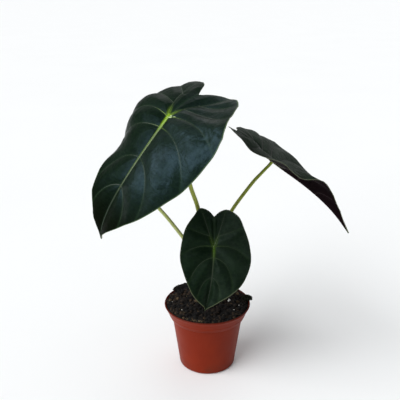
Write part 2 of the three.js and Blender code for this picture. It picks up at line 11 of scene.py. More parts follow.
import bpy
import numpy as np
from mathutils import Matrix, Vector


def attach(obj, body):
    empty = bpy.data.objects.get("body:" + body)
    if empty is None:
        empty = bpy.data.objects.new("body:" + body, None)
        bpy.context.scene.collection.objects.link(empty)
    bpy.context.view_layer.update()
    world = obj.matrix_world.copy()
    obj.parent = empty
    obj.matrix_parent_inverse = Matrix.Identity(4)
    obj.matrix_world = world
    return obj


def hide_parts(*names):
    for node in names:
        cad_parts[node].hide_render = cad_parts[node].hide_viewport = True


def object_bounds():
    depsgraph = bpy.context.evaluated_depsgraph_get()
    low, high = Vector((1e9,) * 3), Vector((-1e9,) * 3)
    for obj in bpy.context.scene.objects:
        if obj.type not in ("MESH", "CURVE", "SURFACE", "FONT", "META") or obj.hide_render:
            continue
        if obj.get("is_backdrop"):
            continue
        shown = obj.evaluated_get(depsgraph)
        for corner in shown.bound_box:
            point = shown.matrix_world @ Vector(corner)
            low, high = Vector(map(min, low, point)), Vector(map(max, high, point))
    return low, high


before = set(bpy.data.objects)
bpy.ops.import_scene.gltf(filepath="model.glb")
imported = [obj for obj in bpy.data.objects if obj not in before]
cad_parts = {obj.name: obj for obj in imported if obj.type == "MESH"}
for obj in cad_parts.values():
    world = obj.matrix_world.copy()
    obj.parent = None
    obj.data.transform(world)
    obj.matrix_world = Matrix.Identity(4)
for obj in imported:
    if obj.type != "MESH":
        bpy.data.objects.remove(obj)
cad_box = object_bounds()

scene = bpy.context.scene
MM = 0.001
print("solids in the frame:", ", ".join(sorted(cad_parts)))

# %% [markdown]
# ## Camera
# The photograph looks down on the plant from just above the large leaf.
# The rim of a round pot is seen as an ellipse, and its flatness gives the angle of the view.
# A lens of medium length a little over half a metre away gives the same perspective.

# %% Camera
PHOTO_PIXELS = 400
FOCAL_PIXELS = 600
SENSOR_WIDTH = 36.0
CAMERA_PLACE = (-6.84, -498.5, 338.4)
CAMERA_DIP = 19.4

camera_data = bpy.data.cameras.new("camera")
camera_data.sensor_width = SENSOR_WIDTH
camera_data.lens = SENSOR_WIDTH * FOCAL_PIXELS / PHOTO_PIXELS
camera_data.clip_end = 200.0
camera = bpy.data.objects.new("camera", camera_data)
camera.location = [length * MM for length in CAMERA_PLACE]
camera.rotation_euler = (math.radians(90 - CAMERA_DIP), 0, 0)
scene.collection.objects.link(camera)
scene.camera = camera
print(f"lens of {camera_data.lens:.0f} mm on a {SENSOR_WIDTH:.0f} mm sensor")

# %% [markdown]
# ## Small helpers for node trees
# A material, the sky and a Geometry Nodes tree are all nodes joined by links.
# One helper adds a node and fills its sockets: a number is set, and another node's socket is linked.
# The others are short names for what nearly every finish needs, so that a finish reads like a recipe.
# What is the same all over a surface is set on the shader's own socket, where an export finds it.

# %% Node helpers
def fill(tree, socket, value):
    """Links the socket of another node, or sets a plain value."""
    if isinstance(value, bpy.types.NodeSocket):
        tree.links.new(value, socket)
    else:
        socket.default_value = value


def add(tree, kind, inputs=None, **settings):
    """Adds a node, sets its options and sockets, and returns it."""
    node = tree.nodes.new(kind)
    for option, value in settings.items():
        setattr(node, option, value)
    for socket, value in (inputs or {}).items():
        fill(tree, node.inputs[socket], value)
    return node


def maths(tree, operation, first, second):
    return add(tree, "ShaderNodeMath", {0: first, 1: second}, operation=operation).outputs[0]


def times(tree, first, second):
    return maths(tree, "MULTIPLY", first, second)


def eased(tree, value, low, high, start=0.0, end=1.0):
    """Runs smoothly from start to end as the value goes from low to high."""
    inputs = {"Value": value, "From Min": low, "From Max": high, "To Min": start, "To Max": end}
    return add(tree, "ShaderNodeMapRange", inputs, interpolation_type="SMOOTHSTEP").outputs["Result"]


def mixed(tree, share, first, second):
    """Mixes two colours: the first at share 0, the second at share 1."""
    node = add(tree, "ShaderNodeMix", {0: share, 6: first, 7: second}, data_type="RGBA")
    return node.outputs[2]


def noise(tree, place, scale, detail=3.0, rough=0.5):
    inputs = {"Vector": place, "Scale": scale, "Detail": detail, "Roughness": rough}
    return add(tree, "ShaderNodeTexNoise", inputs).outputs["Fac"]


def stretched(tree, place, scale):
    """A place scaled along each axis: the smaller the scale, the longer a pattern becomes."""
    return add(tree, "ShaderNodeVectorMath", {0: place, 1: scale}, operation="MULTIPLY").outputs[0]


def object_place(tree):
    return add(tree, "ShaderNodeTexCoord").outputs["Object"]


def own(tree, name, output="Fac"):
    """Reads an attribute of the mesh, here one that was stored with its points."""
    return add(tree, "ShaderNodeAttribute", attribute_name=name).outputs[output]


helpers = (times, eased, mixed, noise, stretched, own)
print("node helpers:", ", ".join(helper.__name__ for helper in helpers))

# %% Material helpers
def colour(red, green, blue):
    """A screen colour of 0 to 255 as the linear colour that nodes work in."""
    def linear(value):
        share = value / 255
        return share / 12.92 if share <= 0.04045 else ((share + 0.055) / 1.055) ** 2.4
    return (linear(red), linear(green), linear(blue), 1.0)


def new_material(name):
    """A material, its tree and its shader."""
    material = bpy.data.materials.new(name)
    material.use_nodes = True
    return material, material.node_tree, material.node_tree.nodes["Principled BSDF"]


def surface(tree, shader, **values):
    """Sets or links the shader's own sockets, such as Base_Color and Roughness."""
    for title, value in values.items():
        fill(tree, shader.inputs[title.replace("_", " ")], value)


def bumped(tree, shader, height, distance, strength=1.0):
    """Makes the surface look as if it rose by this distance where height is 1."""
    inputs = {"Strength": strength, "Distance": distance, "Height": height}
    surface(tree, shader, Normal=add(tree, "ShaderNodeBump", inputs).outputs[0])


print(f"mid grey is {colour(128, 128, 128)[0]:.3f} in linear light")

# %% [markdown]
# ## Floor and light
# The photograph has a white surround and broad, soft light, mostly from the front left.
# Leaves this dark show mostly what they reflect, so the room matters as much as the lamps.
# The sky is dim, and dimmer still low down in front, where a dark room would be.
# Two suns with very wide discs stand for windows: the main one there and a weak one behind.

# %% Floor
FLOOR_REACH = 40.0
FLOOR_DROP = 0.1 * MM
PAPER_GREYS = ((0.90, 0.90, 0.90, 1), (0.93, 0.93, 0.93, 1))


def make_floor():
    """A wide sheet of white paper, just under the pot."""
    corners = [(-1, -1), (1, -1), (1, 1), (-1, 1)]
    mesh = bpy.data.meshes.new("floor")
    points = [(x * FLOOR_REACH, y * FLOOR_REACH, -FLOOR_DROP) for x, y in corners]
    mesh.from_pydata(points, [], [(0, 1, 2, 3)])
    floor = bpy.data.objects.new("floor", mesh)
    scene.collection.objects.link(floor)
    paint, tree, shader = new_material("floor_paint")
    cloud = noise(tree, object_place(tree), 3.0)
    paper = mixed(tree, cloud, *PAPER_GREYS)
    surface(tree, shader, Base_Color=paper, Roughness=0.9, Specular_IOR_Level=0.1)
    mesh.materials.append(paint)
    floor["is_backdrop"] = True


make_floor()
print(f"floor of {2 * FLOOR_REACH:.0f} m, {FLOOR_DROP / MM:.1f} mm under the pot")

# %% Sky
SKY_LOW = 0.24
SKY_HIGH = 0.48
SKY_TINT = (0.97, 0.985, 1.0, 1)
FRONT_SHADE = 0.5


def make_sky():
    """A sky that brightens upwards and is shaded low down in front."""
    world = bpy.data.worlds.new("studio")
    world.use_nodes = True
    scene.world = world
    tree = world.node_tree
    direction = add(tree, "ShaderNodeTexCoord").outputs["Generated"]
    axes = add(tree, "ShaderNodeSeparateXYZ", {0: direction})
    height = eased(tree, axes.outputs["Z"], 0.05, 0.95)
    front = eased(tree, axes.outputs["Y"], 0.1, -0.9)
    low = maths(tree, "SUBTRACT", 1.0, height)
    shade = times(tree, times(tree, front, low), FRONT_SHADE)
    light = eased(tree, height, 0.0, 1.0, SKY_LOW, SKY_HIGH)
    strength = times(tree, light, maths(tree, "SUBTRACT", 1.0, shade))
    surface(tree, tree.nodes["Background"], Color=SKY_TINT, Strength=strength)


make_sky()
print(f"sky from {SKY_LOW} low down to {SKY_HIGH} overhead")

# %% Lamps
# Each soft lamp: where it stands (x, y, z), how wide it looks in degrees, strength and colour
LAMPS = {
    "window_left": ((-0.70, -0.46, 0.55), 62, 3.6, (0.97, 0.99, 1.0)),
    "window_back": ((0.28, 0.72, 0.64), 62, 0.4, (1.0, 0.99, 0.97)),
}


def make_lamp(name, place, width, strength, tint):
    """A far lamp of any width: the wider it looks, the softer its shadows."""
    data = bpy.data.lights.new(name, "SUN")
    data.energy = strength
    data.angle = math.radians(width)
    data.color = tint
    lamp = bpy.data.objects.new(name, data)
    x, y, z = place
    lamp.rotation_euler = (math.atan2(math.hypot(x, y), z), 0, math.atan2(x, -y))
    scene.collection.objects.link(lamp)


for name, (place, width, strength, tint) in LAMPS.items():
    make_lamp(name, place, width, strength, tint)
scene.view_settings.view_transform = "Standard"
print("soft lamps:", ", ".join(LAMPS))

# %% [markdown]
# ## Meshes and Geometry Nodes from a script
# A mesh is made from arrays of points and faces, and numbers stored with each point travel with it.
# A Geometry Nodes tree is run on such a mesh as a modifier, and its result is kept as a plain mesh.
# The modifier's inputs are set by their identifiers before it first runs.

# %% Meshes
def new_object(name, points, faces, edges=(), stored=None, smooth=True):
    """Makes a mesh object from points in millimetres; stored holds one value per point by name."""
    mesh = bpy.data.meshes.new(name)
    mesh.from_pydata((np.asarray(points) * MM).tolist(), list(edges), list(faces))
    for title, values in (stored or {}).items():
        values = np.asarray(values, np.float32)
        kind, field = ("FLOAT", "value") if values.ndim == 1 else ("FLOAT_VECTOR", "vector")
        mesh.attributes.new(title, kind, "POINT").data.foreach_set(field, values.ravel())
    if smooth:
        mesh.shade_smooth()
    made = bpy.data.objects.new(name, mesh)
    scene.collection.objects.link(made)
    return made


def hand_over(piece, slot, *nodes):
    """The piece stands for these solids and moves with them. slot is not used."""
    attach(piece, "root")
    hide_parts(*nodes)
    piece.data.calc_loop_triangles()
    print(f"{piece.name}: {len(piece.data.loop_triangles)} triangles")


print(f"{1 / MM:.0f} mm of a drawing make one metre of a mesh")

# %% Geometry Nodes trees
def new_tree(name, sockets):
    """An empty Geometry Nodes tree with named inputs: {name: (socket type, value)}."""
    tree = bpy.data.node_groups.new(name, "GeometryNodeTree")
    tree.interface.new_socket("Geometry", in_out="INPUT", socket_type="NodeSocketGeometry")
    tree.interface.new_socket("Geometry", in_out="OUTPUT", socket_type="NodeSocketGeometry")
    for title, (kind, value) in sockets.items():
        socket = tree.interface.new_socket(title, in_out="INPUT", socket_type=kind)
        if value is not None:
            socket.default_value = value
    return tree, tree.nodes.new("NodeGroupInput").outputs


def named_input(tree, name, kind):
    """Reads a value that was stored with the points of the source mesh."""
    return add(tree, "GeometryNodeInputNamedAttribute", {0: name}, data_type=kind).outputs[0]


def painted_end(tree, geometry, material):
    """Puts one material on the geometry and ends the tree with it."""
    inputs = {"Geometry": geometry, "Material": material}
    painted = add(tree, "GeometryNodeSetMaterial", inputs).outputs[0]
    tree.links.new(painted, tree.nodes.new("NodeGroupOutput").inputs[0])


def end_tree(tree, geometry, material):
    """Ends a tree: real geometry, smooth shading, one material."""
    real = add(tree, "GeometryNodeRealizeInstances", {0: geometry}).outputs[0]
    smooth = add(tree, "GeometryNodeSetShadeSmooth", {0: real}).outputs[0]
    painted_end(tree, smooth, material)


def run_tree(tree, source, values):
    """Runs the tree on an object and puts the plain mesh that it makes in the object's place."""
    modifier = source.modifiers.new(tree.name, "NODES")
    modifier.node_group = tree
    for item in tree.interface.items_tree:
        if item.in_out == "INPUT" and item.name in values:
            modifier[item.identifier] = values[item.name]
    bpy.context.view_layer.update()
    evaluated = source.evaluated_get(bpy.context.evaluated_depsgraph_get())
    mesh = bpy.data.meshes.new_from_object(evaluated)
    source.modifiers.clear()
    old = source.data
    source.data = mesh
    bpy.data.meshes.remove(old)
    mesh.name = source.name
    return source


print("every tree ends in real geometry, and its modifier is gone once it has run")

# %% [markdown]
# ## A tree that sweeps strands
# Stalks, sheaths, the veins of a leaf and the fibres in the soil are all strands: a line with a width.
# They could be modelled one by one, but one tree can sweep a ring along every line at once.
# Each point of a line stores its half width and the direction that the strand's flat side faces.

# %% Strand tree
def strand_tree():
    """Sweeps a ring, flattened by the first input, along every line of a mesh that has only edges."""
    tree, given = new_tree("swept_strands", {
        "Flatness": ("NodeSocketFloat", 1.0),
        "Sides": ("NodeSocketInt", 12),
        "Material": ("NodeSocketMaterial", None),
    })
    line = add(tree, "GeometryNodeMeshToCurve", {0: given["Geometry"]}).outputs[0]
    facing = named_input(tree, "facing", "FLOAT_VECTOR")
    width = named_input(tree, "half_width", "FLOAT")
    inputs = {"Curve": line, "Normal": facing}
    turned = add(tree, "GeometryNodeSetCurveNormal", inputs, mode="FREE").outputs[0]
    inputs = {"Resolution": given["Sides"], "Radius": 1.0}
    ring = add(tree, "GeometryNodeCurvePrimitiveCircle", inputs).outputs[0]
    squash = add(tree, "ShaderNodeCombineXYZ", {0: given["Flatness"], 1: 1.0, 2: 1.0}).outputs[0]
    profile = add(tree, "GeometryNodeTransform", {"Geometry": ring, "Scale": squash}).outputs[0]
    inputs = {"Curve": turned, "Profile Curve": profile, "Scale": width, "Fill Caps": True}
    tube = add(tree, "GeometryNodeCurveToMesh", inputs).outputs[0]
    end_tree(tree, tube, given["Material"])
    return tree


STRANDS = strand_tree()


def sweep(name, strands, material, sides, flatness=1.0):
    """Sweeps strands, each with its points, half widths and facing directions in millimetres."""
    points, edges = [], []
    stored = {"half_width": [], "facing": [], "reach": [], "tint": [], "fade": [], "stalk_gap": []}
    for strand in strands:
        first = len(points)
        count = len(strand["points"])
        points.extend(strand["points"])
        edges.extend((first + i, first + i + 1) for i in range(count - 1))
        stored["half_width"].extend(np.asarray(strand["widths"]) * MM)
        stored["facing"].extend(strand["facing"])
        stored["reach"].extend(np.linspace(0, 1, count))
        stored["tint"].extend([strand.get("tint", 0.5)] * count)
        stored["fade"].extend(strand.get("fade", np.zeros(count)))
        stored["stalk_gap"].extend(strand.get("stalk_gap", np.zeros(count)))
    source = new_object(name, points, [], edges, stored, smooth=False)
    return run_tree(STRANDS, source, {"Flatness": flatness, "Sides": sides, "Material": material})


print("strand tree with", len(STRANDS.nodes), "nodes")

# %% [markdown]
# ## The form of a leaf
# A blade is a flat heart that has been bent. It is drawn flat first, as half outlines and veins.
# Then the midrib is bent, swept and twisted, and each half is folded up or down beside it.
# The same few numbers give the solids their form, so this finer blade lies in their place.
# Along the midrib, 0 is where the stalk joins, 1 is the tip and -1 the end of the basal lobes.

# %% Leaf numbers
STATIONS = (-1, -0.5, 0, 0.35, 0.7, 1)

GROWN_HALF = ((0, 1), (0.07, 0.9), (0.3, 0.72), (0.66, 0.47), (0.92, 0.22),
              (1, 0), (0.93, -0.45), (0.7, -0.82), (0.42, -1), (0.17, -0.93))
# A grown leaf with a longer drip tip
DRIPPING_HALF = ((0, 1), (0.03, 0.92), (0.09, 0.84), (0.3, 0.7), *GROWN_HALF[3:])
YOUNG_LEFT_HALF = ((0, 1), (0.08, 0.9), (0.34, 0.72), (0.79, 0.47), (0.99, 0.22),
                   (0.95, 0), (0.8, -0.45), (0.66, -0.82), (0.41, -1), (0.18, -0.93))
YOUNG_RIGHT_HALF = ((0, 1), (0.07, 0.9), (0.41, 0.72), (0.7, 0.47), (0.88, 0.22),
                    (0.87, 0), (0.75, -0.45), (0.51, -0.82), (0.37, -1), (0.15, -0.93))

# Side veins of one half: start, pull and end of a curve
GROWN_VEINS = (
    ((0, 0), (0.13, -0.35), (0.34, -0.95)),
    ((0.1, -0.27), (0.45, -0.36), (0.9, -0.5)),
    ((0.17, -0.52), (0.38, -0.66), (0.66, -0.85)),
    ((0, -0.02), (0.45, -0.17), (0.97, 0.08)),
    ((0, 0.07), (0.62, 0.1), (0.84, 0.34)),
    ((0, 0.29), (0.5, 0.34), (0.46, 0.64)),
    ((0, 0.5), (0.27, 0.55), (0.27, 0.77)),
)
YOUNG_VEINS = (
    ((0, 0), (0.13, -0.35), (0.32, -0.94)),
    ((0.1, -0.27), (0.4, -0.36), (0.74, -0.5)),
    ((0, -0.01), (0.45, -0.12), (0.9, 0.14)),
    ((0, 0.14), (0.45, 0.17), (0.6, 0.58)),
    ((0, 0.42), (0.28, 0.47), (0.3, 0.76)),
)

# bend, sweep and twist turn the midrib in degrees: over the lobes, towards the tip, its square.
# fold is the slope beside the midrib and edge the slope at the margin, one value per station.
LEAVES = {
    "large": {
        "junction": (-32.2, -42, 244.9), "heading": 128.5, "pitch": -44, "roll": -14.5,
        "tip_length": 128, "lobe_length": 51, "sinus": 35, "half_width": 59,
        "outline": (GROWN_HALF, GROWN_HALF), "veins": GROWN_VEINS,
        "bend": (-49.5, 31.5, 33.5), "sweep": (-17.5, -22, -19), "twist": (8, -3, -8.5),
        "fold": ((0, -25, 11, 16, -5, -3), (23, 2, 18, 1, 32, 12)),
        "edge": ((36, 45, -3, -44, -38, -31), (-92, -42, -62, -69, -70, -34)),
        "thickness": 0.9, "quilting": 1.3,
        "foot": 220, "radius": (2.2, 1.6), "sheath_top": 98,
        "through": ((-5.6, -10, 130), (-8.3, -15, 159), (-14.6, -22, 182.1), (-22, -29.5, 213)),
    },
    "right": {
        "junction": (57.5, 12, 195.5), "heading": -92.5, "pitch": -35, "roll": -4,
        "tip_length": 94.5, "lobe_length": 46.5, "sinus": 42, "half_width": 47,
        "outline": (DRIPPING_HALF, DRIPPING_HALF), "veins": GROWN_VEINS,
        "bend": (3.5, -5, 25.5), "sweep": (-17.5, -24.5, -24.5), "twist": (1, -13.5, -16),
        "fold": ((4, 31, 22, 15, 42, 13), (8, 28, 4, 40, 21, 28)),
        "edge": ((7, -16, 3, 20, -4, -20), (-1, -31, 15, -42, 23, -3)),
        "thickness": 0.8, "quilting": 0.8,
        "foot": 30, "radius": (2.1, 1.3), "sheath_top": 94,
        "through": ((6.5, 2.6, 108), (12, 3, 130), (21.3, 4, 151), (38.4, 8, 174.6), (47.2, 10, 184.2)),
    },
    "front": {
        "junction": (5.1, -29, 130.1), "heading": 178.5, "pitch": -70, "roll": 2,
        "tip_length": 63, "lobe_length": 35.5, "sinus": 27, "half_width": 33.5,
        "outline": (YOUNG_LEFT_HALF, YOUNG_RIGHT_HALF), "veins": YOUNG_VEINS,
        "bend": (23.5, 14.5, 30.5), "sweep": (-0.5, -16, -2.5), "twist": (2.5, -2, -1.5),
        "fold": ((30, 19, 12, 13, 21, 19), (19, 16, 16, 13, 23, 26)),
        "edge": ((-17, -13, -27, -29, -9, -11), (-6, -19, -23, -27, -11, -9)),
        "thickness": 0.7, "quilting": 0.6,
        "foot": 310, "radius": (1.8, 1.2), "sheath_top": 88,
        "through": ((3.4, -6.5, 104), (4.4, -13, 122)),
    },
    "rear": {
        "junction": (-63, 29, 168), "heading": 62, "pitch": -42, "roll": 4,
        "tip_length": 56, "lobe_length": 30, "sinus": 21, "half_width": 28,
        "outline": (GROWN_HALF, GROWN_HALF), "veins": YOUNG_VEINS,
        "bend": (6, 14, 16), "sweep": (4, 8, 4), "twist": (0, 4, 2),
        "fold": ((14, 14, 12, 12, 14, 14), (14, 14, 12, 12, 14, 14)),
        "edge": ((-18, -20, -26, -26, -18, -12), (-12, -16, -26, -28, -18, -12)),
        "thickness": 0.7, "quilting": 0.6,
        "foot": 130, "radius": (2.0, 1.5), "sheath_top": 90,
        "through": ((-10.5, 5, 106), (-20.6, 7, 121.6), (-36.1, 14, 140), (-50, 21.5, 153.5)),
    },
}
print("leaves:", ", ".join(LEAVES))

# %% [markdown]
# ## From numbers to a surface
# An outline, a stalk and the wall of a pot are each a few points joined by a smooth line.
# A form then carries a flat place on a blade to its place in space, in three moves.
# It goes out from the midrib along an arc, up by the quilting between the veins,
# and over to where the bent midrib lies. A lattice or a bend modifier could turn the sheet as well,
# but neither would follow the numbers that shaped the solids.

# %% Lines
def smooth_line(points, steps):
    """A smooth open curve through points of any dimension, with some steps between each two."""
    points = np.asarray(points, float)
    ends = np.vstack([2 * points[0] - points[1], points, 2 * points[-1] - points[-2]])
    t = (np.arange(steps) / steps)[:, None]
    spans = []
    for a, b, c, d in zip(ends[:-3], ends[1:-2], ends[2:-1], ends[3:]):
        spans.append(0.5 * (2 * b + (c - a) * t + (2 * a - 5 * b + 4 * c - d) * t ** 2
                            + (3 * b - a - 3 * c + d) * t ** 3))
    return np.vstack([*spans, points[-1:]])


def evenly(line, count):
    """count + 1 points at equal distances along a line, ends included."""
    lengths = np.concatenate([[0], np.cumsum(np.linalg.norm(np.diff(line, axis=0), axis=1))])
    wanted = np.linspace(0, lengths[-1], count + 1)
    return np.stack([np.interp(wanted, lengths, line[:, axis]) for axis in range(line.shape[1])], axis=1)


def near(gap, reach):
    """1 where the gap is nothing, easing to 0 at about twice the reach."""
    return np.exp(-(gap / reach) ** 2)


def gap_to_lines(x, y, lines):
    """Distance from each flat place to the nearest of some lines."""
    nearest = np.full(x.shape, np.inf)
    for line in lines:
        for (ax, ay), (bx, by) in zip(line[:-1], line[1:]):
            dx, dy = bx - ax, by - ay
            t = np.clip(((x - ax) * dx + (y - ay) * dy) / (dx * dx + dy * dy), 0, 1)
            nearest = np.minimum(nearest, np.hypot(x - ax - t * dx, y - ay - t * dy))
    return nearest


print("points on half an outline:", len(smooth_line(GROWN_HALF, 12)))

# %% Turns and stations
def turning(about_x, about_y, about_z):
    """Turn matrices for angles in radians, about Y first, then X, then Z."""
    cx, sx, cy, sy = np.cos(about_x), np.sin(about_x), np.cos(about_y), np.sin(about_y)
    cz, sz, none, one = np.cos(about_z), np.sin(about_z), np.zeros_like(about_x), np.ones_like(about_x)
    x = np.array([[one, none, none], [none, cx, -sx], [none, sx, cx]])
    y = np.array([[cy, none, sy], [none, one, none], [-sy, none, cy]])
    z = np.array([[cz, -sz, none], [sz, cz, none], [none, none, one]])
    return np.einsum("ij...,jk...,kl...->...il", z, x, y)


def between_stations(values, v):
    """A smooth value at each v, from one value per station."""
    stations, values = np.array(STATIONS, float), np.array(values, float)
    last = len(stations) - 1
    before, after = np.maximum(np.arange(last + 1) - 1, 0), np.minimum(np.arange(last + 1) + 1, last)
    slopes = (values[after] - values[before]) / (stations[after] - stations[before])
    v = np.clip(v, -1, 1)
    i = np.clip(np.searchsorted(stations, v, side="right") - 1, 0, last - 1)
    width = stations[i + 1] - stations[i]
    t = (v - stations[i]) / width
    return ((2 * t ** 3 - 3 * t ** 2 + 1) * values[i] + (t ** 3 - 2 * t ** 2 + t) * width * slopes[i]
            + (3 * t ** 2 - 2 * t ** 3) * values[i + 1] + (t ** 3 - t ** 2) * width * slopes[i + 1])


folds = between_stations(LEAVES["large"]["fold"][0], np.linspace(-1, 1, 5))
print("fold of the large leaf along its left half:", folds.round(1).tolist())

# %% Leaf form
MIDRIB_STEPS = 240
BULGE_REACH = 6
VEIN_STEPS = 12
SLOPE_STEP = 0.4


class LeafForm:
    """Turns flat places on a blade, x across and y along in millimetres, into places in space."""

    def __init__(self, leaf):
        self.leaf = leaf
        self.lowest = -1.05 * leaf["lobe_length"]
        self.step = (1.02 * leaf["tip_length"] - self.lowest) / MIDRIB_STEPS
        v = self.share(self.lowest + self.step * np.arange(MIDRIB_STEPS + 1))
        bend, sweep_turn, twist = (self.along(leaf[name], v) for name in ("bend", "sweep", "twist"))
        turns = turning(-bend, twist, sweep_turn)
        self.across, ahead, self.up = turns[..., 0], turns[..., 1], turns[..., 2]
        walk = np.cumsum((ahead[:-1] + ahead[1:]) * self.step / 2, axis=0)
        self.at = np.vstack([[0, 0, 0], walk])
        self.at -= self.between(self.at, self.midrib_place(np.zeros(1)))[0]
        angles = np.radians([leaf["pitch"], leaf["roll"], leaf["heading"]])
        self.placing = turning(*angles)
        self.vein_lines = [self.flat_curve(vein) for vein in leaf["veins"]]
        self.midrib_line = np.array([[0, -leaf["sinus"]], [0, leaf["tip_length"]]], float)

    def share(self, y):
        return np.where(y < 0, y / self.leaf["lobe_length"], y / self.leaf["tip_length"])

    def along(self, terms, v):
        return np.radians(np.where(v < 0, -terms[0] * v, terms[1] * v + terms[2] * v * v))

    def flat(self, points):
        """Shares of half width and length as flat millimetres."""
        points = np.asarray(points, float)
        length = np.where(points[:, 1] < 0, self.leaf["lobe_length"], self.leaf["tip_length"])
        return np.stack([points[:, 0] * self.leaf["half_width"], points[:, 1] * length], axis=1)

    def flat_curve(self, vein, steps=VEIN_STEPS):
        start, pull, end = self.flat(vein)
        t = np.linspace(0, 1, steps + 1)[:, None]
        return (1 - t) ** 2 * start + 2 * t * (1 - t) * pull + t ** 2 * end

    def midrib_place(self, y):
        """Where a length falls among the steps of the midrib."""
        return np.clip((y - self.lowest) / self.step, 0, MIDRIB_STEPS - 0.001)

    def between(self, rows, place):
        i = place.astype(int)
        t = (place - i)[:, None]
        return rows[i] * (1 - t) + rows[i + 1] * t

    def middle(self, x, y):
        """The middle of the blade's thickness, quilted up between the veins."""
        leaf, v = self.leaf, self.share(y)
        fold, edge = (np.radians(np.where(x < 0, between_stations(leaf[name][0], v),
                                          between_stations(leaf[name][1], v))) for name in ("fold", "edge"))
        curl = (edge - fold) / leaf["half_width"]
        curl = np.where(np.abs(curl) < 1e-6, 1e-6, curl)
        reach = np.abs(x)
        out = np.sign(x) * (np.sin(fold + curl * reach) - np.sin(fold)) / curl
        rise = (np.cos(fold) - np.cos(fold + curl * reach)) / curl
        nearest = gap_to_lines(reach, y, [*self.vein_lines, self.midrib_line])
        rise += leaf["quilting"] * (0.5 - near(nearest, BULGE_REACH))
        place = self.midrib_place(y)
        across, up = self.between(self.across, place), self.between(self.up, place)
        points = self.between(self.at, place) + across * out[:, None] + up * rise[:, None]
        return points @ self.placing.T + np.array(leaf["junction"], float)

    def upward(self, x, y):
        """The direction that the upper face looks in."""
        across = self.middle(x + SLOPE_STEP, y) - self.middle(x - SLOPE_STEP, y)
        ahead = self.middle(x, y + SLOPE_STEP) - self.middle(x, y - SLOPE_STEP)
        up = np.cross(across, ahead)
        return up / np.linalg.norm(up, axis=1, keepdims=True)


FORMS = {name: LeafForm(leaf) for name, leaf in LEAVES.items()}
for name, form in FORMS.items():
    tip = form.middle(np.zeros(1), np.array([LEAVES[name]["tip_length"]], float))[0]
    print(f"leaf {name}: tip at", " ".join(f"{value:.1f}" for value in tip), "mm")

# %% [markdown]
# ## Leaf finishes
# The upper side of a grown leaf is almost black green with a waxy, bluish shine.
# The underside is a dull wine red, and the cut edge is a thin pale line.
# A single colour would look like plastic, so each finish reads how far a point is from a vein,
# the midrib, the margin and the stalk, and colours and dulls the surface by that. Shade towards the tip is
# painted into the colour.
# Fine net veins between the side veins are only a ripple in the light, so they are bump.

# %% Leaf colours
# Colours are for the ground and its clouds, and for beside a vein, the stalk and the margin, and the last
# is shade painted towards the tip.
# dull is the roughness, relief the height of the net veins in millimetres and shine the reflection.
LEAF_FACES = {
    "grown_leaf_top": {
        "deep": (8, 20, 11), "light": (13, 26, 16), "by_vein": (26, 42, 25), "by_stalk": (96, 124, 22),
        "by_margin": (62, 84, 52), "painted_tip_shade": (9, 11, 5),
        "dull": 0.28, "relief": 0.09, "shine": 0.225, "shine_tint": (0.42, 0.70, 0.95),
    },
    # The right leaf's top is a duller copy of the grown leaf's, with its junction and veins painted dark as
    # shade.
    "side_leaf_top_painted_shade": {
        "deep": (18, 31, 20), "light": (33, 46, 35), "by_vein": (9, 16, 9), "by_stalk": (50, 62, 22),
        "by_margin": (58, 64, 50), "painted_tip_shade": (9, 11, 5),
        "dull": 0.42, "relief": 0.16, "shine": 0.12, "shine_tint": (0.8, 1.0, 0.9),
    },
    "young_leaf_top": {
        # The young leaves' colours by the stalk are darker than a grown leaf's, partly their own colour and
        # partly painted shade.
        "deep": (7, 18, 9), "light": (17, 30, 19), "by_vein": (27, 41, 23), "by_stalk": (46, 66, 8),
        "by_margin": (92, 100, 72), "painted_tip_shade": (9, 11, 5),
        "dull": 0.36, "relief": 0.05, "shine": 0.13, "shine_tint": (0.75, 1.0, 0.85),
    },
    "grown_leaf_underside": {
        "deep": (13, 7, 9), "light": (20, 10, 13), "by_vein": (26, 15, 17), "by_stalk": (60, 58, 34),
        "by_margin": (66, 62, 50), "painted_tip_shade": (13, 7, 9),
        "dull": 0.55, "relief": 0.1, "shine": 0.06, "shine_tint": (1.0, 1.0, 1.0),
    },
    "young_leaf_underside": {
        "deep": (44, 34, 32), "light": (54, 42, 36), "by_vein": (70, 74, 48), "by_stalk": (92, 104, 50),
        "by_margin": (98, 106, 78), "painted_tip_shade": (44, 34, 32),
        "dull": 0.5, "relief": 0.08, "shine": 0.2, "shine_tint": (1.0, 1.0, 1.0),
    },
}
SHADES = ("deep", "light", "by_vein", "by_stalk", "by_margin", "painted_tip_shade")
print("sides of leaves to colour:", ", ".join(LEAF_FACES))

# %% Leaf faces and margin
def net_veins(tree, flat):
    """Fine net veins: cells stretched across the leaf, with their borders sunk."""
    wavy = noise(tree, flat, 1.3, 2.0)
    bent = add(tree, "ShaderNodeVectorMath", {0: flat, 1: wavy}, operation="ADD").outputs[0]
    inputs = {"Vector": stretched(tree, bent, (0.7, 1.3, 1.0)), "Scale": 2.1}
    cells = add(tree, "ShaderNodeTexVoronoi", inputs, feature="DISTANCE_TO_EDGE")
    return eased(tree, cells.outputs["Distance"], 0.0, 0.22)


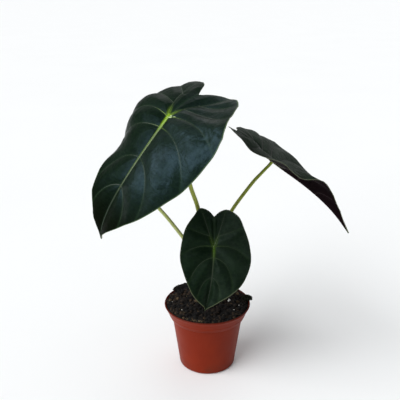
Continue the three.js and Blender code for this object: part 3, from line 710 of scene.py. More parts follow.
def leaf_ground(tree, flat, cells, look):
    """The colour of one side of a blade, layer on layer."""
    vein_gap, rib_gap = own(tree, "vein_gap"), own(tree, "rib_gap")
    margin_gap, stalk_gap = own(tree, "margin_gap"), own(tree, "stalk_gap")
    cloud = eased(tree, noise(tree, flat, 0.5, 4.0, 0.6), 0.3, 0.7)
    ground = mixed(tree, cloud, look["deep"], look["light"])
    ground = mixed(tree, eased(tree, cells, 0.0, 1.0, 0.2, 0.0), ground, look["by_vein"])
    # Painted shade: the blade darkens towards its tip.
    ground = mixed(tree, eased(tree, stalk_gap, 54.0, 108.0, 0.0, 0.85), ground, look["painted_tip_shade"])
    ground = mixed(tree, eased(tree, vein_gap, 0.2, 1.8, 0.5, 0.0), ground, look["by_vein"])
    on_rib = eased(tree, rib_gap, 0.5, 2.6, 0.9, 0.0)
    near_stalk = eased(tree, stalk_gap, 1.0, 14.0, 1.0, 0.0)
    ground = mixed(tree, times(tree, on_rib, near_stalk), ground, look["by_stalk"])
    rim = eased(tree, margin_gap, 0.15, 0.95, 0.9, 0.0)
    far_out = eased(tree, stalk_gap, 30.0, 58.0, 0.3, 1.0)
    return mixed(tree, times(tree, rim, far_out), ground, look["by_margin"])


def leaf_shine(tree, flat, shine):
    """The wax is worn in places, thinner on the half x above 0 and gone towards the tip."""
    wax = eased(tree, own(tree, "stalk_gap"), 46.0, 96.0, shine, 0.03 * shine)
    worn = eased(tree, noise(tree, flat, 0.7, 4.0, 0.7), 0.36, 0.64, 0.5, 1.15)
    across = add(tree, "ShaderNodeSeparateXYZ", {0: flat}).outputs["X"]
    thinner = eased(tree, across, -0.4, 0.7, 1.0, 0.3)
    return times(tree, wax, times(tree, worn, thinner))


def leaf_face(name):
    """The finish of one side of a blade, with net veins in relief."""
    face = LEAF_FACES[name]
    look = {part: colour(*face[part]) for part in SHADES}
    material, tree, shader = new_material(name)
    flat = own(tree, "flat_place", "Vector")
    cells = net_veins(tree, flat)
    blotch = times(tree, noise(tree, flat, 1.6, 3.0), 0.14)
    relief = maths(tree, "ADD", cells, times(tree, noise(tree, flat, 26.0, 2.0), 0.25))
    surface(tree, shader, Base_Color=leaf_ground(tree, flat, cells, look),
            Roughness=maths(tree, "ADD", face["dull"], blotch),
            Specular_IOR_Level=leaf_shine(tree, flat, face["shine"]),
            Specular_Tint=(*face["shine_tint"], 1.0))
    bumped(tree, shader, relief, face["relief"] * MM, 0.7)
    return material


def margin_finish():
    """The cut edge of a blade: pale towards the tip, with a little brown here and there."""
    material, tree, shader = new_material("leaf_margin")
    flat = own(tree, "flat_place", "Vector")
    patch = eased(tree, noise(tree, flat, 1.1, 3.0), 0.45, 0.75)
    pale = mixed(tree, patch, colour(84, 94, 64), colour(66, 64, 46))
    far_out = eased(tree, own(tree, "stalk_gap"), 28.0, 56.0)
    surface(tree, shader, Base_Color=mixed(tree, far_out, colour(30, 42, 26), pale),
            Roughness=eased(tree, patch, 0.0, 1.0, 0.35, 0.55))
    return material


LEAF_SKINS = {name: leaf_face(name) for name in LEAF_FACES}
LEAF_SKINS["leaf_margin"] = margin_finish()
print("leaf finishes:", len(LEAF_SKINS))

# %% [markdown]
# ## Vein finishes
# A vein is yellow green where it leaves the stalk, and it darkens and dulls along its length.
# One colour for a whole vein would end in a bright line at the margin,
# so each strand stores how far along it a point is, and the finish fades from shade to shade by that.

# %% Vein finishes
# Each kind of vein: its colour by the stalk, in the middle and at its end, and its roughness
VEIN_KINDS = {
    "grown_top_veins": ((118, 152, 12), (84, 104, 44), (24, 38, 24), 0.25),
    # The right leaf's veins are painted dark as shade.
    "side_top_veins_painted_shade": ((60, 76, 22), (22, 30, 18), (16, 24, 15), 0.4),
    # Young veins are darker than grown ones, partly their own colour and partly painted shade.
    "young_top_veins": ((58, 86, 4), (34, 49, 21), (15, 27, 16), 0.4),
    "grown_underside_ribs": ((104, 108, 56), (54, 36, 32), (34, 18, 20), 0.45),
    "young_underside_ribs": ((110, 118, 58), (78, 78, 50), (60, 50, 42), 0.45),
}


def vein_finish(name):
    """A vein is brightest by the stalk and fades along its own length."""
    *shades, dull = VEIN_KINDS[name]
    by_stalk, middle, end = (colour(*shade) for shade in shades)
    material, tree, shader = new_material(name)
    place, faded, stalk_gap = object_place(tree), own(tree, "fade"), own(tree, "stalk_gap")
    whole = mixed(tree, eased(tree, faded, 0.08, 0.72), middle, end)
    near_stalk = eased(tree, stalk_gap, 1.0, 17.0, 1.0, 0.0)
    strong = eased(tree, faded, 0.0, 0.6, 1.0, 0.45)
    whole = mixed(tree, times(tree, near_stalk, strong), whole, by_stalk)
    fleck = eased(tree, noise(tree, place, 900.0, 3.0), 0.35, 0.75, 0.0, 0.35)
    polish = eased(tree, stalk_gap, 0.0, 12.0, 0.5, 1.0)
    roughness = maths(tree, "ADD", dull, times(tree, fleck, 0.3))
    surface(tree, shader, Base_Color=mixed(tree, fleck, whole, end),
            Roughness=times(tree, roughness, polish), Specular_IOR_Level=0.3)
    bumped(tree, shader, noise(tree, place, 1400.0, 2.0), 0.05 * MM, 0.5)
    return material


VEINS = {name: vein_finish(name) for name in VEIN_KINDS}
print("vein finishes:", len(VEINS))

# %% [markdown]
# ## Leaf blades
# A real blade is a sheet less than a millimetre thick with a rounded edge.
# A plane with a Solidify modifier could do it, but the edge and the grooves would not line up.
# Here spokes run from the stalk to the outline and rings join them, once for each face.
# The veins lie in shallow grooves on top, and the blade puffs up and ripples a little between them.
# The large leaf also has a patch of close crinkles, and the others sink in behind the stalk.

# %% Swellings of a blade
# Height of the small swellings between the veins
RIPPLE = 0.13
# How far a blade puffs up between its veins beyond the solid, and how wide its valleys are
PUFF = {"large": 0.3, "right": 0.6, "front": 1.7, "rear": 0.6}
PUFF_REACH = 3.8
# Over these reaches a puffed blade comes down to its margin and to the stalk
LEVEL_MARGIN, LEVEL_STALK = 6, 7
# Where the large leaf is crinkled near its margin: place, reach and height
CRINKLES = {"large": ((-48.0, 4.0), 10.0, 0.18)}


def crinkle(name, x, y):
    """A patch of close, uneven folds."""
    if name not in CRINKLES:
        return np.zeros(x.shape)
    (at_x, at_y), reach, height = CRINKLES[name]
    patch = np.exp(-((x - at_x) ** 2 + (y - at_y) ** 2) / reach ** 2)
    across = np.sin(0.85 * x + 1.6 * np.sin(0.5 * y))
    along = np.sin(0.7 * y + 1.4 * np.sin(0.45 * x + 1))
    return height * patch * across * along


def ripple(x, y):
    """Small uneven swellings between the veins, in millimetres."""
    slow = np.sin(0.52 * x + 1.9 * np.sin(0.21 * y + 0.6)) * np.sin(0.44 * y + 1.2 * np.sin(0.33 * x))
    quick = np.sin(1.15 * x + 0.9 * np.sin(0.7 * y)) * np.sin(0.95 * y + 1.1 * np.sin(0.61 * x + 2.0))
    return RIPPLE * (slow + 0.12 * quick)


def puffed(name, vein_gap, margin_gap, stalk_gap):
    """How far the blade rises between its veins. It stays level at the margin and on the stalk."""
    level = (1 - near(margin_gap, LEVEL_MARGIN)) * (1 - near(stalk_gap, LEVEL_STALK))
    return PUFF[name] * (0.4 - near(vein_gap, PUFF_REACH)) * level


print("puffed up by", ", ".join(f"{height} mm ({name})" for name, height in PUFF.items()))

# %% Outline and rings of a blade
# Side of a cell of the mesh. Along a spoke a cell is LONG_CELL times longer, and the power INWARD
# lengthens it a little towards the stalk.
CELL = 1.12
LONG_CELL = 1.2
INWARD = 0.92
OUTLINE_POINTS = 200
# The margin is this share of the blade's thickness, rounded by these angles and set in by this much
MARGIN_SHARE = 0.6
MARGIN_ANGLES = (60, 20, -20, -60)
MARGIN_INSET = 0.29


def blade_outline(form, count):
    """The flat outline from the tip round the left half and back up the right half."""
    halves = []
    for points, sign in zip(form.leaf["outline"], (-1, 1)):
        line = np.vstack([form.flat(points), [0, -form.leaf["sinus"]]]) * (sign, 1)
        halves.append(evenly(smooth_line(line, 12), count // 2))
    left, right = halves
    return np.vstack([left[:-1], right[::-1][:-1]])


def blade_rings(form, margin_thickness):
    """Flat points in rings from the stalk to the margin, and each one's distance from the margin."""
    rough = blade_outline(form, OUTLINE_POINTS)
    around = np.linalg.norm(np.diff(rough, axis=0, append=rough[:1]), axis=1).sum()
    spokes = 2 * round(around / CELL / 2)
    rings = round(form.leaf["tip_length"] / CELL / LONG_CELL)
    outline = blade_outline(form, spokes)
    length = np.linalg.norm(outline, axis=1, keepdims=True)
    inner = outline * (1 - (margin_thickness / 2 + MARGIN_INSET) / length)
    shares = (np.arange(1, rings + 1) / rings) ** INWARD
    flat = np.vstack([[[0, 0]], (shares[:, None, None] * inner).reshape(-1, 2)])
    margin_gap = np.concatenate([[60], ((1 - shares)[:, None] * length[:, 0]).ravel()])
    return spokes, rings, flat, margin_gap


def ring_band(a, b, sides, rising=True):
    """Quads between two rings that start at points a and b. They face outwards if the rings rise,
    and otherwise if they sink."""
    pairs = [(i, (i + 1) % sides) for i in range(sides)]
    if rising:
        return [(a + i, a + j, b + j, b + i) for i, j in pairs]
    return [(a + i, b + i, b + j, a + j) for i, j in pairs]


def blade_faces(spokes, rings):
    """Faces of the top, the underside and the margin, and the number of each one's material."""
    last = 1 + (rings - 1) * spokes
    margin = [last + (i + 1) * spokes for i in range(len(MARGIN_ANGLES))]
    below = margin[-1] + spokes
    top = [(0, 1 + i, 1 + (i + 1) % spokes) for i in range(spokes)]
    for ring in range(rings - 1):
        top += ring_band(1 + ring * spokes, 1 + (ring + 1) * spokes, spokes, rising=False)
    underside = [tuple(below + point for point in face[::-1]) for face in top]
    loops, edge = [last, *margin, below + last], []
    for a, b in zip(loops[:-1], loops[1:]):
        edge += ring_band(a, b, spokes, rising=False)
    return top + underside + edge, [0] * len(top) + [1] * len(underside) + [2] * len(edge)


print("a blade of 12 spokes and 5 rings has", len(blade_faces(12, 5)[0]), "faces")

# %% Leaf blades
# Grooves on top and the rib below the midrib: height and reach
GROOVE = 0.32
GROOVE_REACH = 1.3
RIB_HEIGHT = 0.7
RIB_REACH = 1.5
# How deep the top sinks behind the stalk, in line with the midrib. The rest is how wide it does so,
# how far from the stalk it starts, over what length it deepens and how near the margin it ends.
CLEFT = {"large": 0.0, "right": 0.3, "front": 0.85, "rear": 0.5}
CLEFT_REACH = 1.9
CLEFT_START, CLEFT_EASE, CLEFT_END = 2, 8, 3
# Over this reach the blade thins to its margin, and ripples fade towards a vein
THINNING = 5
# The finishes of the top, the underside and the margin
BLADE_SKINS = {
    "large": ("grown_leaf_top", "grown_leaf_underside", "leaf_margin"),
    "right": ("side_leaf_top_painted_shade", "grown_leaf_underside", "leaf_margin"),
    "front": ("young_leaf_top", "young_leaf_underside", "leaf_margin"),
    "rear": ("young_leaf_top", "young_leaf_underside", "leaf_margin"),
}


def blade_piece(name, form):
    """One closed sheet: the top, the rounded margin and the underside."""
    leaf = form.leaf
    thin = MARGIN_SHARE * leaf["thickness"]
    spokes, rings, flat, margin_gap = blade_rings(form, thin)
    x, y = flat.T
    vein_gap = gap_to_lines(np.abs(x), y, [*form.vein_lines, form.midrib_line])
    rib_gap = gap_to_lines(np.abs(x), y, [form.vein_lines[0], [(0, 0), (0, leaf["tip_length"])]])
    stalk_gap, inland = np.hypot(x, y), 1 - near(margin_gap, THINNING)
    middle, up = form.middle(x, y), form.upward(x, y)
    uneven = ripple(x, y) * (1 - near(vein_gap, THINNING)) + crinkle(name, x, y)
    middle = middle + up * (puffed(name, vein_gap, margin_gap, stalk_gap) + uneven)[:, None]
    thickness = thin + (leaf["thickness"] - thin) * inland
    in_cleft = np.clip((-y - CLEFT_START) / CLEFT_EASE, 0, 1) * near(x, CLEFT_REACH)
    groove = GROOVE * near(vein_gap, GROOVE_REACH) * inland
    groove = groove + CLEFT[name] * in_cleft * (1 - near(margin_gap, CLEFT_END))
    upper = middle + up * (thickness / 2 - groove)[:, None]
    lower = middle - up * (thickness / 2 + RIB_HEIGHT * near(x, RIB_REACH))[:, None]
    outward = middle[-spokes:] - middle[-2 * spokes:-spokes]
    outward /= np.linalg.norm(outward, axis=1, keepdims=True)
    rounding = [middle[-spokes:] + thin / 2 * (outward * math.cos(angle) + up[-spokes:] * math.sin(angle))
                for angle in np.radians(MARGIN_ANGLES)]

    def everywhere(values):
        return np.concatenate([values, *[values[-spokes:]] * len(rounding), values])

    stored = {
        "flat_place": everywhere(np.column_stack([flat / 10, np.zeros(len(flat))])),
        "vein_gap": everywhere(vein_gap), "rib_gap": everywhere(rib_gap),
        "margin_gap": everywhere(margin_gap), "stalk_gap": everywhere(stalk_gap),
    }
    faces, slots = blade_faces(spokes, rings)
    points = np.vstack([upper, *rounding, lower])
    piece = new_object(f"leaf_blade_{name}", points, faces, stored=stored)
    for skin in BLADE_SKINS[name]:
        piece.data.materials.append(LEAF_SKINS[skin])
    piece.data.polygons.foreach_set("material_index", np.array(slots, np.int32))
    return piece


for name, form in FORMS.items():
    hand_over(blade_piece(name, form), "leaf", f"blade_{name}")

# %% [markdown]
# ## Veins and ribs
# On top, the midrib and the side veins show as smooth pale cords that thin out towards the margin.
# Under the blade the same veins stand out as rounder ribs that stiffen it.
# Painting them on would leave them without edges or shine, so they are strands laid on the faces.
# Each strand is flat like a ribbon, and its flat side faces the way the blade does.

# %% Veins and ribs
# Veins end at this share of the way to the margin
VEIN_INSIDE = 0.94
VEIN_POINTS = 48
MIDRIB_POINTS = 120
# The strand of a rib lies this share of the way into the blade's own rib
RIB_CENTRE = 0.7
# Half widths in millimetres where a vein starts, and the one that all of them end in
VEIN_SIZES = {
    "large": {"midrib": 2.0, "basal": 0.85, "side": 0.42, "thinnest": 0.12},
    "right": {"midrib": 0.9, "basal": 0.5, "side": 0.3, "thinnest": 0.1},
    "front": {"midrib": 1.0, "basal": 0.55, "side": 0.3, "thinnest": 0.1},
    "rear": {"midrib": 0.9, "basal": 0.5, "side": 0.3, "thinnest": 0.1},
}


def inside_blade(line, outline):
    """The part of a vein, from its start, that keeps clear of the margin."""
    reach = np.hypot(*line.T)
    turn = np.argsort(np.arctan2(outline[:, 1], outline[:, 0]))
    angles, lengths = np.arctan2(outline[turn, 1], outline[turn, 0]), np.hypot(*outline[turn].T)
    limit = np.interp(np.arctan2(line[:, 1], line[:, 0]), angles, lengths, period=2 * math.pi)
    outside = reach > VEIN_INSIDE * limit
    return line[:int(np.argmax(outside))] if outside.any() else line


def vein_strands(name, form, over):
    """The midrib and side veins of both halves as strands on one face of the blade."""
    leaf, sizes = form.leaf, VEIN_SIZES[name]
    outline = blade_outline(form, OUTLINE_POINTS)
    along = np.linspace(-0.03, 0.97, MIDRIB_POINTS) * leaf["tip_length"]
    midrib = np.stack([np.zeros(MIDRIB_POINTS), along], axis=1)
    lines = [(midrib, sizes["midrib"], 0.0)]
    for number, vein in enumerate(leaf["veins"]):
        line = inside_blade(form.flat_curve(vein, VEIN_POINTS), outline)
        start = np.hypot(*line[0]) / leaf["tip_length"]
        half = sizes["basal"] if number == 0 else sizes["side"]
        lines.extend((line * (side, 1), half, 0.5 + start) for side in (-1, 1))
    strands = []
    for line, half, faded in lines:
        x, y = line.T
        up = form.upward(x, y)
        if over:
            face = leaf["thickness"] / 2 - GROOVE
        else:
            face = -leaf["thickness"] / 2 - RIB_HEIGHT * near(x, RIB_REACH) * RIB_CENTRE
        gap = gap_to_lines(np.abs(x), y, [*form.vein_lines, form.midrib_line])
        margin_gap = gap_to_lines(x, y, [np.vstack([outline, outline[:1]])])
        face = face + puffed(name, gap, margin_gap, np.hypot(x, y))
        points = form.middle(x, y) + up * np.broadcast_to(face, x.shape)[:, None]
        t = np.linspace(0, 1, len(line))
        widths = (half - sizes["thinnest"]) * (1 - t) ** 1.1 + sizes["thinnest"]
        strands.append({"points": points, "widths": widths, "facing": up,
                        "fade": np.clip(faded + t * (1 - faded), 0, 1), "stalk_gap": np.hypot(x, y)})
    return strands


# Which finish each leaf's veins have on top and underneath
VEIN_FINISHES = {
    "large": ("grown_top_veins", "grown_underside_ribs"),
    "right": ("side_top_veins_painted_shade", "grown_underside_ribs"),
    "front": ("young_top_veins", "young_underside_ribs"),
    "rear": ("young_top_veins", "young_underside_ribs"),
}
for name, form in FORMS.items():
    top, underneath = (VEINS[finish] for finish in VEIN_FINISHES[name])
    veins = sweep(f"leaf_veins_{name}", vein_strands(name, form, True), top, sides=10, flatness=0.42)
    hand_over(veins, "leaf", f"blade_{name}")
    ribs = sweep(f"leaf_ribs_{name}", vein_strands(name, form, False), underneath, sides=10, flatness=0.8)
    hand_over(ribs, "leaf", f"blade_{name}")

# %% [markdown]
# ## Beside the junction of the large leaf, glints of light are painted as a few pale flecks.
# Beside the junction of the large leaf its wax has flaked and catches the light in a few pale flecks.
# Paint could show them too, but each one stands a little proud, so they are short, flat strands.

# %% Painted glints by the stalk
# Each painted glint's start and end on the flat blade, and its half width
PAINTED_GLINTS = (
    ((-1.2, -0.6), (-4.6, -1.9), 0.8),
    ((-1.6, -2.4), (-3.2, -3.2), 0.5),
    ((-5.2, -2.6), (-7.4, -2.9), 0.38),
)
GLINT_LIFT = 0.5
GLINT_POINTS = 10


def painted_glint_finish():
    """A pale colour with a little gloss, painted as glints of light and uneven at its edges."""
    material, tree, shader = new_material("painted_glints")
    place = object_place(tree)
    patch = eased(tree, noise(tree, place, 1500.0, 2.0), 0.35, 0.7)
    whole = mixed(tree, patch, colour(176, 194, 146), colour(136, 158, 92))
    surface(tree, shader, Base_Color=whole, Roughness=0.25)
    bumped(tree, shader, patch, 0.1 * MM)
    return material


def painted_glint_strands():
    """A short strand for each fleck, laid on the top of the large leaf."""
    form, strands = FORMS["large"], []
    for start, end, half in PAINTED_GLINTS:
        t = np.linspace(0, 1, GLINT_POINTS)
        x, y = (a + (b - a) * t for a, b in zip(start, end))
        up = form.upward(x, y)
        strands.append({"points": form.middle(x, y) + GLINT_LIFT * up, "facing": up,
                        "widths": half * (0.15 + 0.85 * np.sin(math.pi * np.clip(t, 0.04, 0.96)) ** 0.6)})
    return strands


# Painted glints: these pale flecks stand for light caught beside the junction.
wax = sweep("painted_glints_large", painted_glint_strands(), painted_glint_finish(), sides=10, flatness=0.5)
hand_over(wax, "leaf", "blade_large")

# %% [markdown]
# ## Stalks and crown
# Each stalk rises from the crown, leans out in one long curve and turns sharply under its blade.
# At its foot it widens into a sheath that wraps the stalks inside it.
# All of them are strands again: round ones, with a radius that follows the curve.
# Their skin is smooth, with fine streaks along it, so the streaks are a noise stretched upwards.

# %% Stalk and crown finishes
# Each kind of stalk: its colour at the foot, in the middle and at the top, and its roughness
STALK_KINDS = {
    "grown_stalk": ((140, 132, 66), (150, 160, 56), (146, 164, 44), 0.34),
    "pale_stalk": ((158, 154, 96), (172, 180, 114), (160, 174, 90), 0.36),
    "sheath_skin": ((112, 88, 62), (108, 106, 62), (104, 114, 52), 0.42),
}


def stalk_finish(name):
    """Smooth and green, with fine streaks along the stalk and dark flecks."""
    *shades, dull = STALK_KINDS[name]
    foot, middle, top = (colour(*shade) for shade in shades)
    material, tree, shader = new_material(name)
    place, reach = object_place(tree), own(tree, "reach")
    whole = mixed(tree, eased(tree, reach, 0.0, 0.35), foot, middle)
    whole = mixed(tree, eased(tree, reach, 0.4, 1.0), whole, top)
    streak = noise(tree, stretched(tree, place, (1500.0, 1500.0, 90.0)), 1.0, 4.0, 0.6)
    whole = mixed(tree, eased(tree, streak, 0.42, 0.72, 0.0, 0.35), whole, foot)
    spots = noise(tree, stretched(tree, place, (1.0, 1.0, 0.35)), 1300.0, 2.0)
    whole = mixed(tree, eased(tree, spots, 0.6, 0.72, 0.0, 0.4), whole, colour(62, 70, 38))
    roughness = eased(tree, streak, 0.0, 1.0, dull, dull + 0.2)
    surface(tree, shader, Base_Color=whole, Roughness=roughness, Specular_IOR_Level=0.4)
    bumped(tree, shader, streak, 0.12 * MM, 0.6)
    return material


STALKS = {name: stalk_finish(name) for name in STALK_KINDS}
print("stalk finishes:", len(STALKS))

# %% Stalks
# Heights of a sheath's start and of the floor of the socket that the stalk stands in
SHEATH_START = 56
SOCKET_FLOOR = 74
STALK_SPREAD = 4.2
STALK_GAP = 0.3
STALK_NECK = 3
STALK_STEPS = 14
# How far the top of a stalk runs on into its blade
INTO_BLADE = 0.9


def stalk_line(form):
    """The centre line of a stalk, from its foot in the crown to the underside of its blade."""
    leaf, origin = form.leaf, np.zeros(1)
    angle = math.radians(leaf["foot"])
    foot = STALK_SPREAD * np.array([math.cos(angle), math.sin(angle)])
    down = -form.upward(origin, origin)[0]
    top = form.middle(origin, origin)[0] + down * (leaf["thickness"] / 2 + RIB_HEIGHT + STALK_GAP)
    neck = top + down * STALK_NECK
    line = smooth_line([
        (*foot, SHEATH_START), (*foot, SOCKET_FLOOR), (*1.1 * foot, leaf["sheath_top"] - 4),
        *leaf["through"], neck,
    ], STALK_STEPS)
    return np.vstack([line, top, top - down * INTO_BLADE])


def cut_line(line, low=-math.inf, high=math.inf):
    """The part of a rising line between two heights."""
    for height in filter(math.isfinite, (low, high)):
        after = int(np.argmax(line[:, 2] > height))
        t = (height - line[after - 1, 2]) / (line[after, 2] - line[after - 1, 2])
        line = np.insert(line, after, line[after - 1] * (1 - t) + line[after] * t, axis=0)
    return line[(line[:, 2] >= low - 1e-6) & (line[:, 2] <= high + 1e-6)]


def side_directions(line):
    """One direction across the line at each point, turning as little as it can."""
    ahead = np.gradient(line, axis=0)
    ahead /= np.linalg.norm(ahead, axis=1, keepdims=True)
    across, found = np.array([1.0, 0, 0]), []
    for direction in ahead:
        across = across - direction * (across @ direction)
        across = across / np.linalg.norm(across)
        found.append(across)
    return np.array(found)


def stalk_strand(form):
    """A stalk from the floor of its socket up, slightly swollen where it meets its blade."""
    line = cut_line(stalk_line(form), low=SOCKET_FLOOR + STALK_GAP)
    t = np.linspace(0, 1, len(line))
    foot, top = form.leaf["radius"]
    widths = foot + (top - foot) * t
    widths *= 1 + 0.02 * np.sin(9 * t) + 0.12 * near(1 - t, 0.03)
    return {"points": line, "widths": widths, "facing": side_directions(line)}


for name, form in FORMS.items():
    finish = STALKS["pale_stalk" if name == "rear" else "grown_stalk"]
    stalk = sweep(f"leaf_stalk_{name}", [stalk_strand(form)], finish, sides=28)
    hand_over(stalk, "stalk", f"petiole_{name}")

# %% Crown
CROWN_FOOT = 45
CROWN_RADIUS = 7.8
CROWN_SHOULDER = 66
SHEATH_RADIUS = 3.7
SHEATH_WALL = 0.55
SHEATH_STEPS = 60
# Scars of old leaves ring the stem: their height, how close they are in radians to a millimetre,
# and the room that they take inside the stem's radius
SCAR_HEIGHT, SCAR_TURN, SCAR_ROOM = 0.12, 2.2, 0.15


def sheath_strand(form):
    """A sheath widens at its foot and closes on its stalk with a thin lip at its top."""
    leaf = form.leaf
    line = evenly(cut_line(stalk_line(form), high=leaf["sheath_top"]), SHEATH_STEPS)
    t = np.linspace(0, 1, len(line))
    lip = leaf["radius"][0] + STALK_GAP + SHEATH_WALL
    widths = SHEATH_RADIUS + (lip - SHEATH_RADIUS) * t
    widths -= 0.62 * near(1 - t, 0.02)
    return {"points": line, "widths": widths, "facing": side_directions(line)}


def crown_strands():
    """The ringed stem, upright in the middle, and a sheath for each stalk."""
    profile = smooth_line([
        (CROWN_RADIUS - 3, CROWN_FOOT), (CROWN_RADIUS - 0.9, CROWN_FOOT + 0.9),
        (CROWN_RADIUS, CROWN_FOOT + 3), (CROWN_RADIUS, CROWN_SHOULDER),
        (CROWN_RADIUS - 2, CROWN_SHOULDER + 6), (STALK_SPREAD, SOCKET_FLOOR + 4),
        (1.5, SOCKET_FLOOR + 5),
    ], 8)
    radii, heights = profile.T
    line = np.stack([np.zeros(len(radii)), np.zeros(len(radii)), heights], axis=1)
    widths = radii - SCAR_ROOM + SCAR_HEIGHT * np.sin(SCAR_TURN * heights)
    stem = {"points": line, "widths": widths, "facing": side_directions(line)}
    return [stem, *(sheath_strand(form) for form in FORMS.values())]


crown = sweep("crown_sheaths", crown_strands(), STALKS["sheath_skin"], sides=36)
hand_over(crown, "sheath", "crown")

# %% [markdown]
# ## Pot
# The pot is thin plastic, blown or pressed in one piece: a flared collar with a small lip,
# a step under it, a tapering body, a rounded base and drain holes in a raised channel.
# A turned shape follows one profile, so the profile is written down once, with its corners rounded.
# The drain holes repeat round the base, so a tree places one cutter on each point of a ring.
# The plastic is even in colour: only faint scuffs and dust near the table break it up, and shade is painted
# darker on the lip.

# %% Pot finish
def pot_finish():
    """Matt red-brown plastic, scuffed and dusty, with shade painted darker on its lip."""
    material, tree, shader = new_material("terracotta_plastic")
    place = object_place(tree)
    height = add(tree, "ShaderNodeSeparateXYZ", {0: place}).outputs["Z"]
    cloud = noise(tree, place, 26.0, 4.0, 0.6)
    ground = mixed(tree, eased(tree, cloud, 0.3, 0.7), colour(112, 32, 12), colour(122, 38, 15))
    scuffs = noise(tree, stretched(tree, place, (220.0, 220.0, 40.0)), 1.0, 6.0, 0.7)
    scuffed = eased(tree, scuffs, 0.62, 0.78, 0.0, 0.35)
    ground = mixed(tree, scuffed, ground, colour(134, 60, 38))
    dust = noise(tree, place, 90.0, 5.0, 0.65)
    low = eased(tree, height, 0.001, 0.014, 0.55, 0.0)
    dusty = times(tree, eased(tree, dust, 0.4, 0.7), low)
    ground = mixed(tree, dusty, ground, colour(70, 44, 34))
    # Painted shade: the lip and the top of the inner wall are darker.
    lip = eased(tree, height, 0.0606, 0.0617, 0.0, 0.65)
    ground = mixed(tree, lip, ground, colour(58, 22, 14))
    roughness = eased(tree, noise(tree, place, 60.0, 4.0), 0.2, 0.8, 0.38, 0.5)
    roughness = maths(tree, "ADD", roughness, times(tree, scuffed, 0.3))
    surface(tree, shader, Base_Color=ground, Roughness=roughness, Specular_IOR_Level=0.08)
    tooling = noise(tree, stretched(tree, place, (8.0, 8.0, 900.0)), 1.0)
    relief = maths(tree, "ADD", tooling, times(tree, noise(tree, place, 400.0), 0.5))
    bumped(tree, shader, relief, 0.06 * MM, 0.5)
    return material


POT_PLASTIC = pot_finish()
print("pot finish nodes:", len(POT_PLASTIC.node_tree.nodes))

# %% Pot wall
RIM_RADIUS = 40
POT_HEIGHT = 62
COLLAR_HEIGHT = 13
COLLAR_FOOT_RADIUS = 34.5
BODY_TOP_RADIUS = 32.7
BASE_RADIUS = 26.5
BASE_ROUNDING = 4
WALL = 1.0
FLOOR = 1.4
LIP = 0.6
# The raised channel for the drain holes: its inner and outer radius, and its height
CHANNEL = (12, 20.5)
CHANNEL_LIFT = 1.5
TURNED_SIDES = 224
CORNER_STEPS = 4


def collar_radius(height):
    share = (height - POT_HEIGHT + COLLAR_HEIGHT) / COLLAR_HEIGHT
    return COLLAR_FOOT_RADIUS + (RIM_RADIUS - COLLAR_FOOT_RADIUS) * share


def pot_profile():
    """Corners of the wall, (radius, height, rounding), from under the middle round to the inside."""
    foot, inner, outer = POT_HEIGHT - COLLAR_HEIGHT, *CHANNEL
    band = POT_HEIGHT - 2.6
    return [
        (0, 0, 0), (inner, 0, 0.4), (inner + 1, CHANNEL_LIFT, 0.4), (outer - 1, CHANNEL_LIFT, 0.4),
        (outer, 0, 0.4), (BASE_RADIUS - 0.4, 0, BASE_ROUNDING - 0.5), (BASE_RADIUS, BASE_ROUNDING, 1.5),
        (BODY_TOP_RADIUS, foot, 0.5), (COLLAR_FOOT_RADIUS, foot + 0.4, 0.5),
        (collar_radius(foot + 4.2), foot + 4.2, 0.3), (collar_radius(foot + 4.5) - 0.22, foot + 4.5, 0.3),
        (collar_radius(band - 0.5) - 0.22, band - 0.5, 0.3), (collar_radius(band), band, 0.3),
        (RIM_RADIUS, POT_HEIGHT - LIP, 0.35), (RIM_RADIUS - LIP, POT_HEIGHT, 0.35),
        (RIM_RADIUS - WALL, POT_HEIGHT, 0.25), (collar_radius(POT_HEIGHT - 2) - WALL, POT_HEIGHT - 2, 0.4),
        (COLLAR_FOOT_RADIUS - WALL, foot + 1.2, 0.5),
        (BODY_TOP_RADIUS - WALL, foot - 0.6, 0.5), (BASE_RADIUS - WALL, BASE_ROUNDING + 0.3, 1.2),
        (BASE_RADIUS - BASE_ROUNDING + 1, FLOOR, 1.0), (outer + 0.4, FLOOR, 0.4),
        (outer - 0.6, FLOOR + CHANNEL_LIFT, 0.4), (inner + 0.6, FLOOR + CHANNEL_LIFT, 0.4),
        (inner - 0.4, FLOOR, 0.4), (0, FLOOR, 0),
    ]


def rounded(profile):
    """Cuts each corner with a short curve that reaches its rounding along both sides."""
    corners = [np.array(corner[:2], float) for corner in profile]
    line = [corners[0]]
    for before, corner, after, reach in zip(corners, corners[1:], corners[2:], [c[2] for c in profile[1:]]):
        into, away = before - corner, after - corner
        start = corner + into * min(0.48, reach / np.linalg.norm(into))
        end = corner + away * min(0.48, reach / np.linalg.norm(away))
        t = np.linspace(0, 1, CORNER_STEPS + 1)[:, None]
        line.extend((1 - t) ** 2 * start + 2 * t * (1 - t) * corner + t ** 2 * end)
    return np.array([*line, corners[-1]])


def turned_points(line, sides):
    """Rings of points round the axis, with a single point where the line meets it."""
    angles = np.linspace(0, 2 * math.pi, sides, endpoint=False)
    points, faces, rings = [], [], []
    for radius, height in line:
        first = len(points)
        if radius < 1e-6:
            points.append((0, 0, height))
            rings.append([first] * sides)
        else:
            points.extend((radius * math.cos(a), radius * math.sin(a), height) for a in angles)
            rings.append(list(range(first, first + sides)))
    for low, high in zip(rings[:-1], rings[1:]):
        for i in range(sides):
            j = (i + 1) % sides
            faces.append(tuple(dict.fromkeys((low[i], low[j], high[j], high[i]))))
    return points, faces


points, faces = turned_points(rounded(pot_profile()), TURNED_SIDES)
pot = new_object("pot_shell", points, faces)
print("the wall of the pot has", len(faces), "faces before the holes are cut")

# %% Drain holes
DRAIN_COUNT = 6
DRAIN_RADIUS = 3


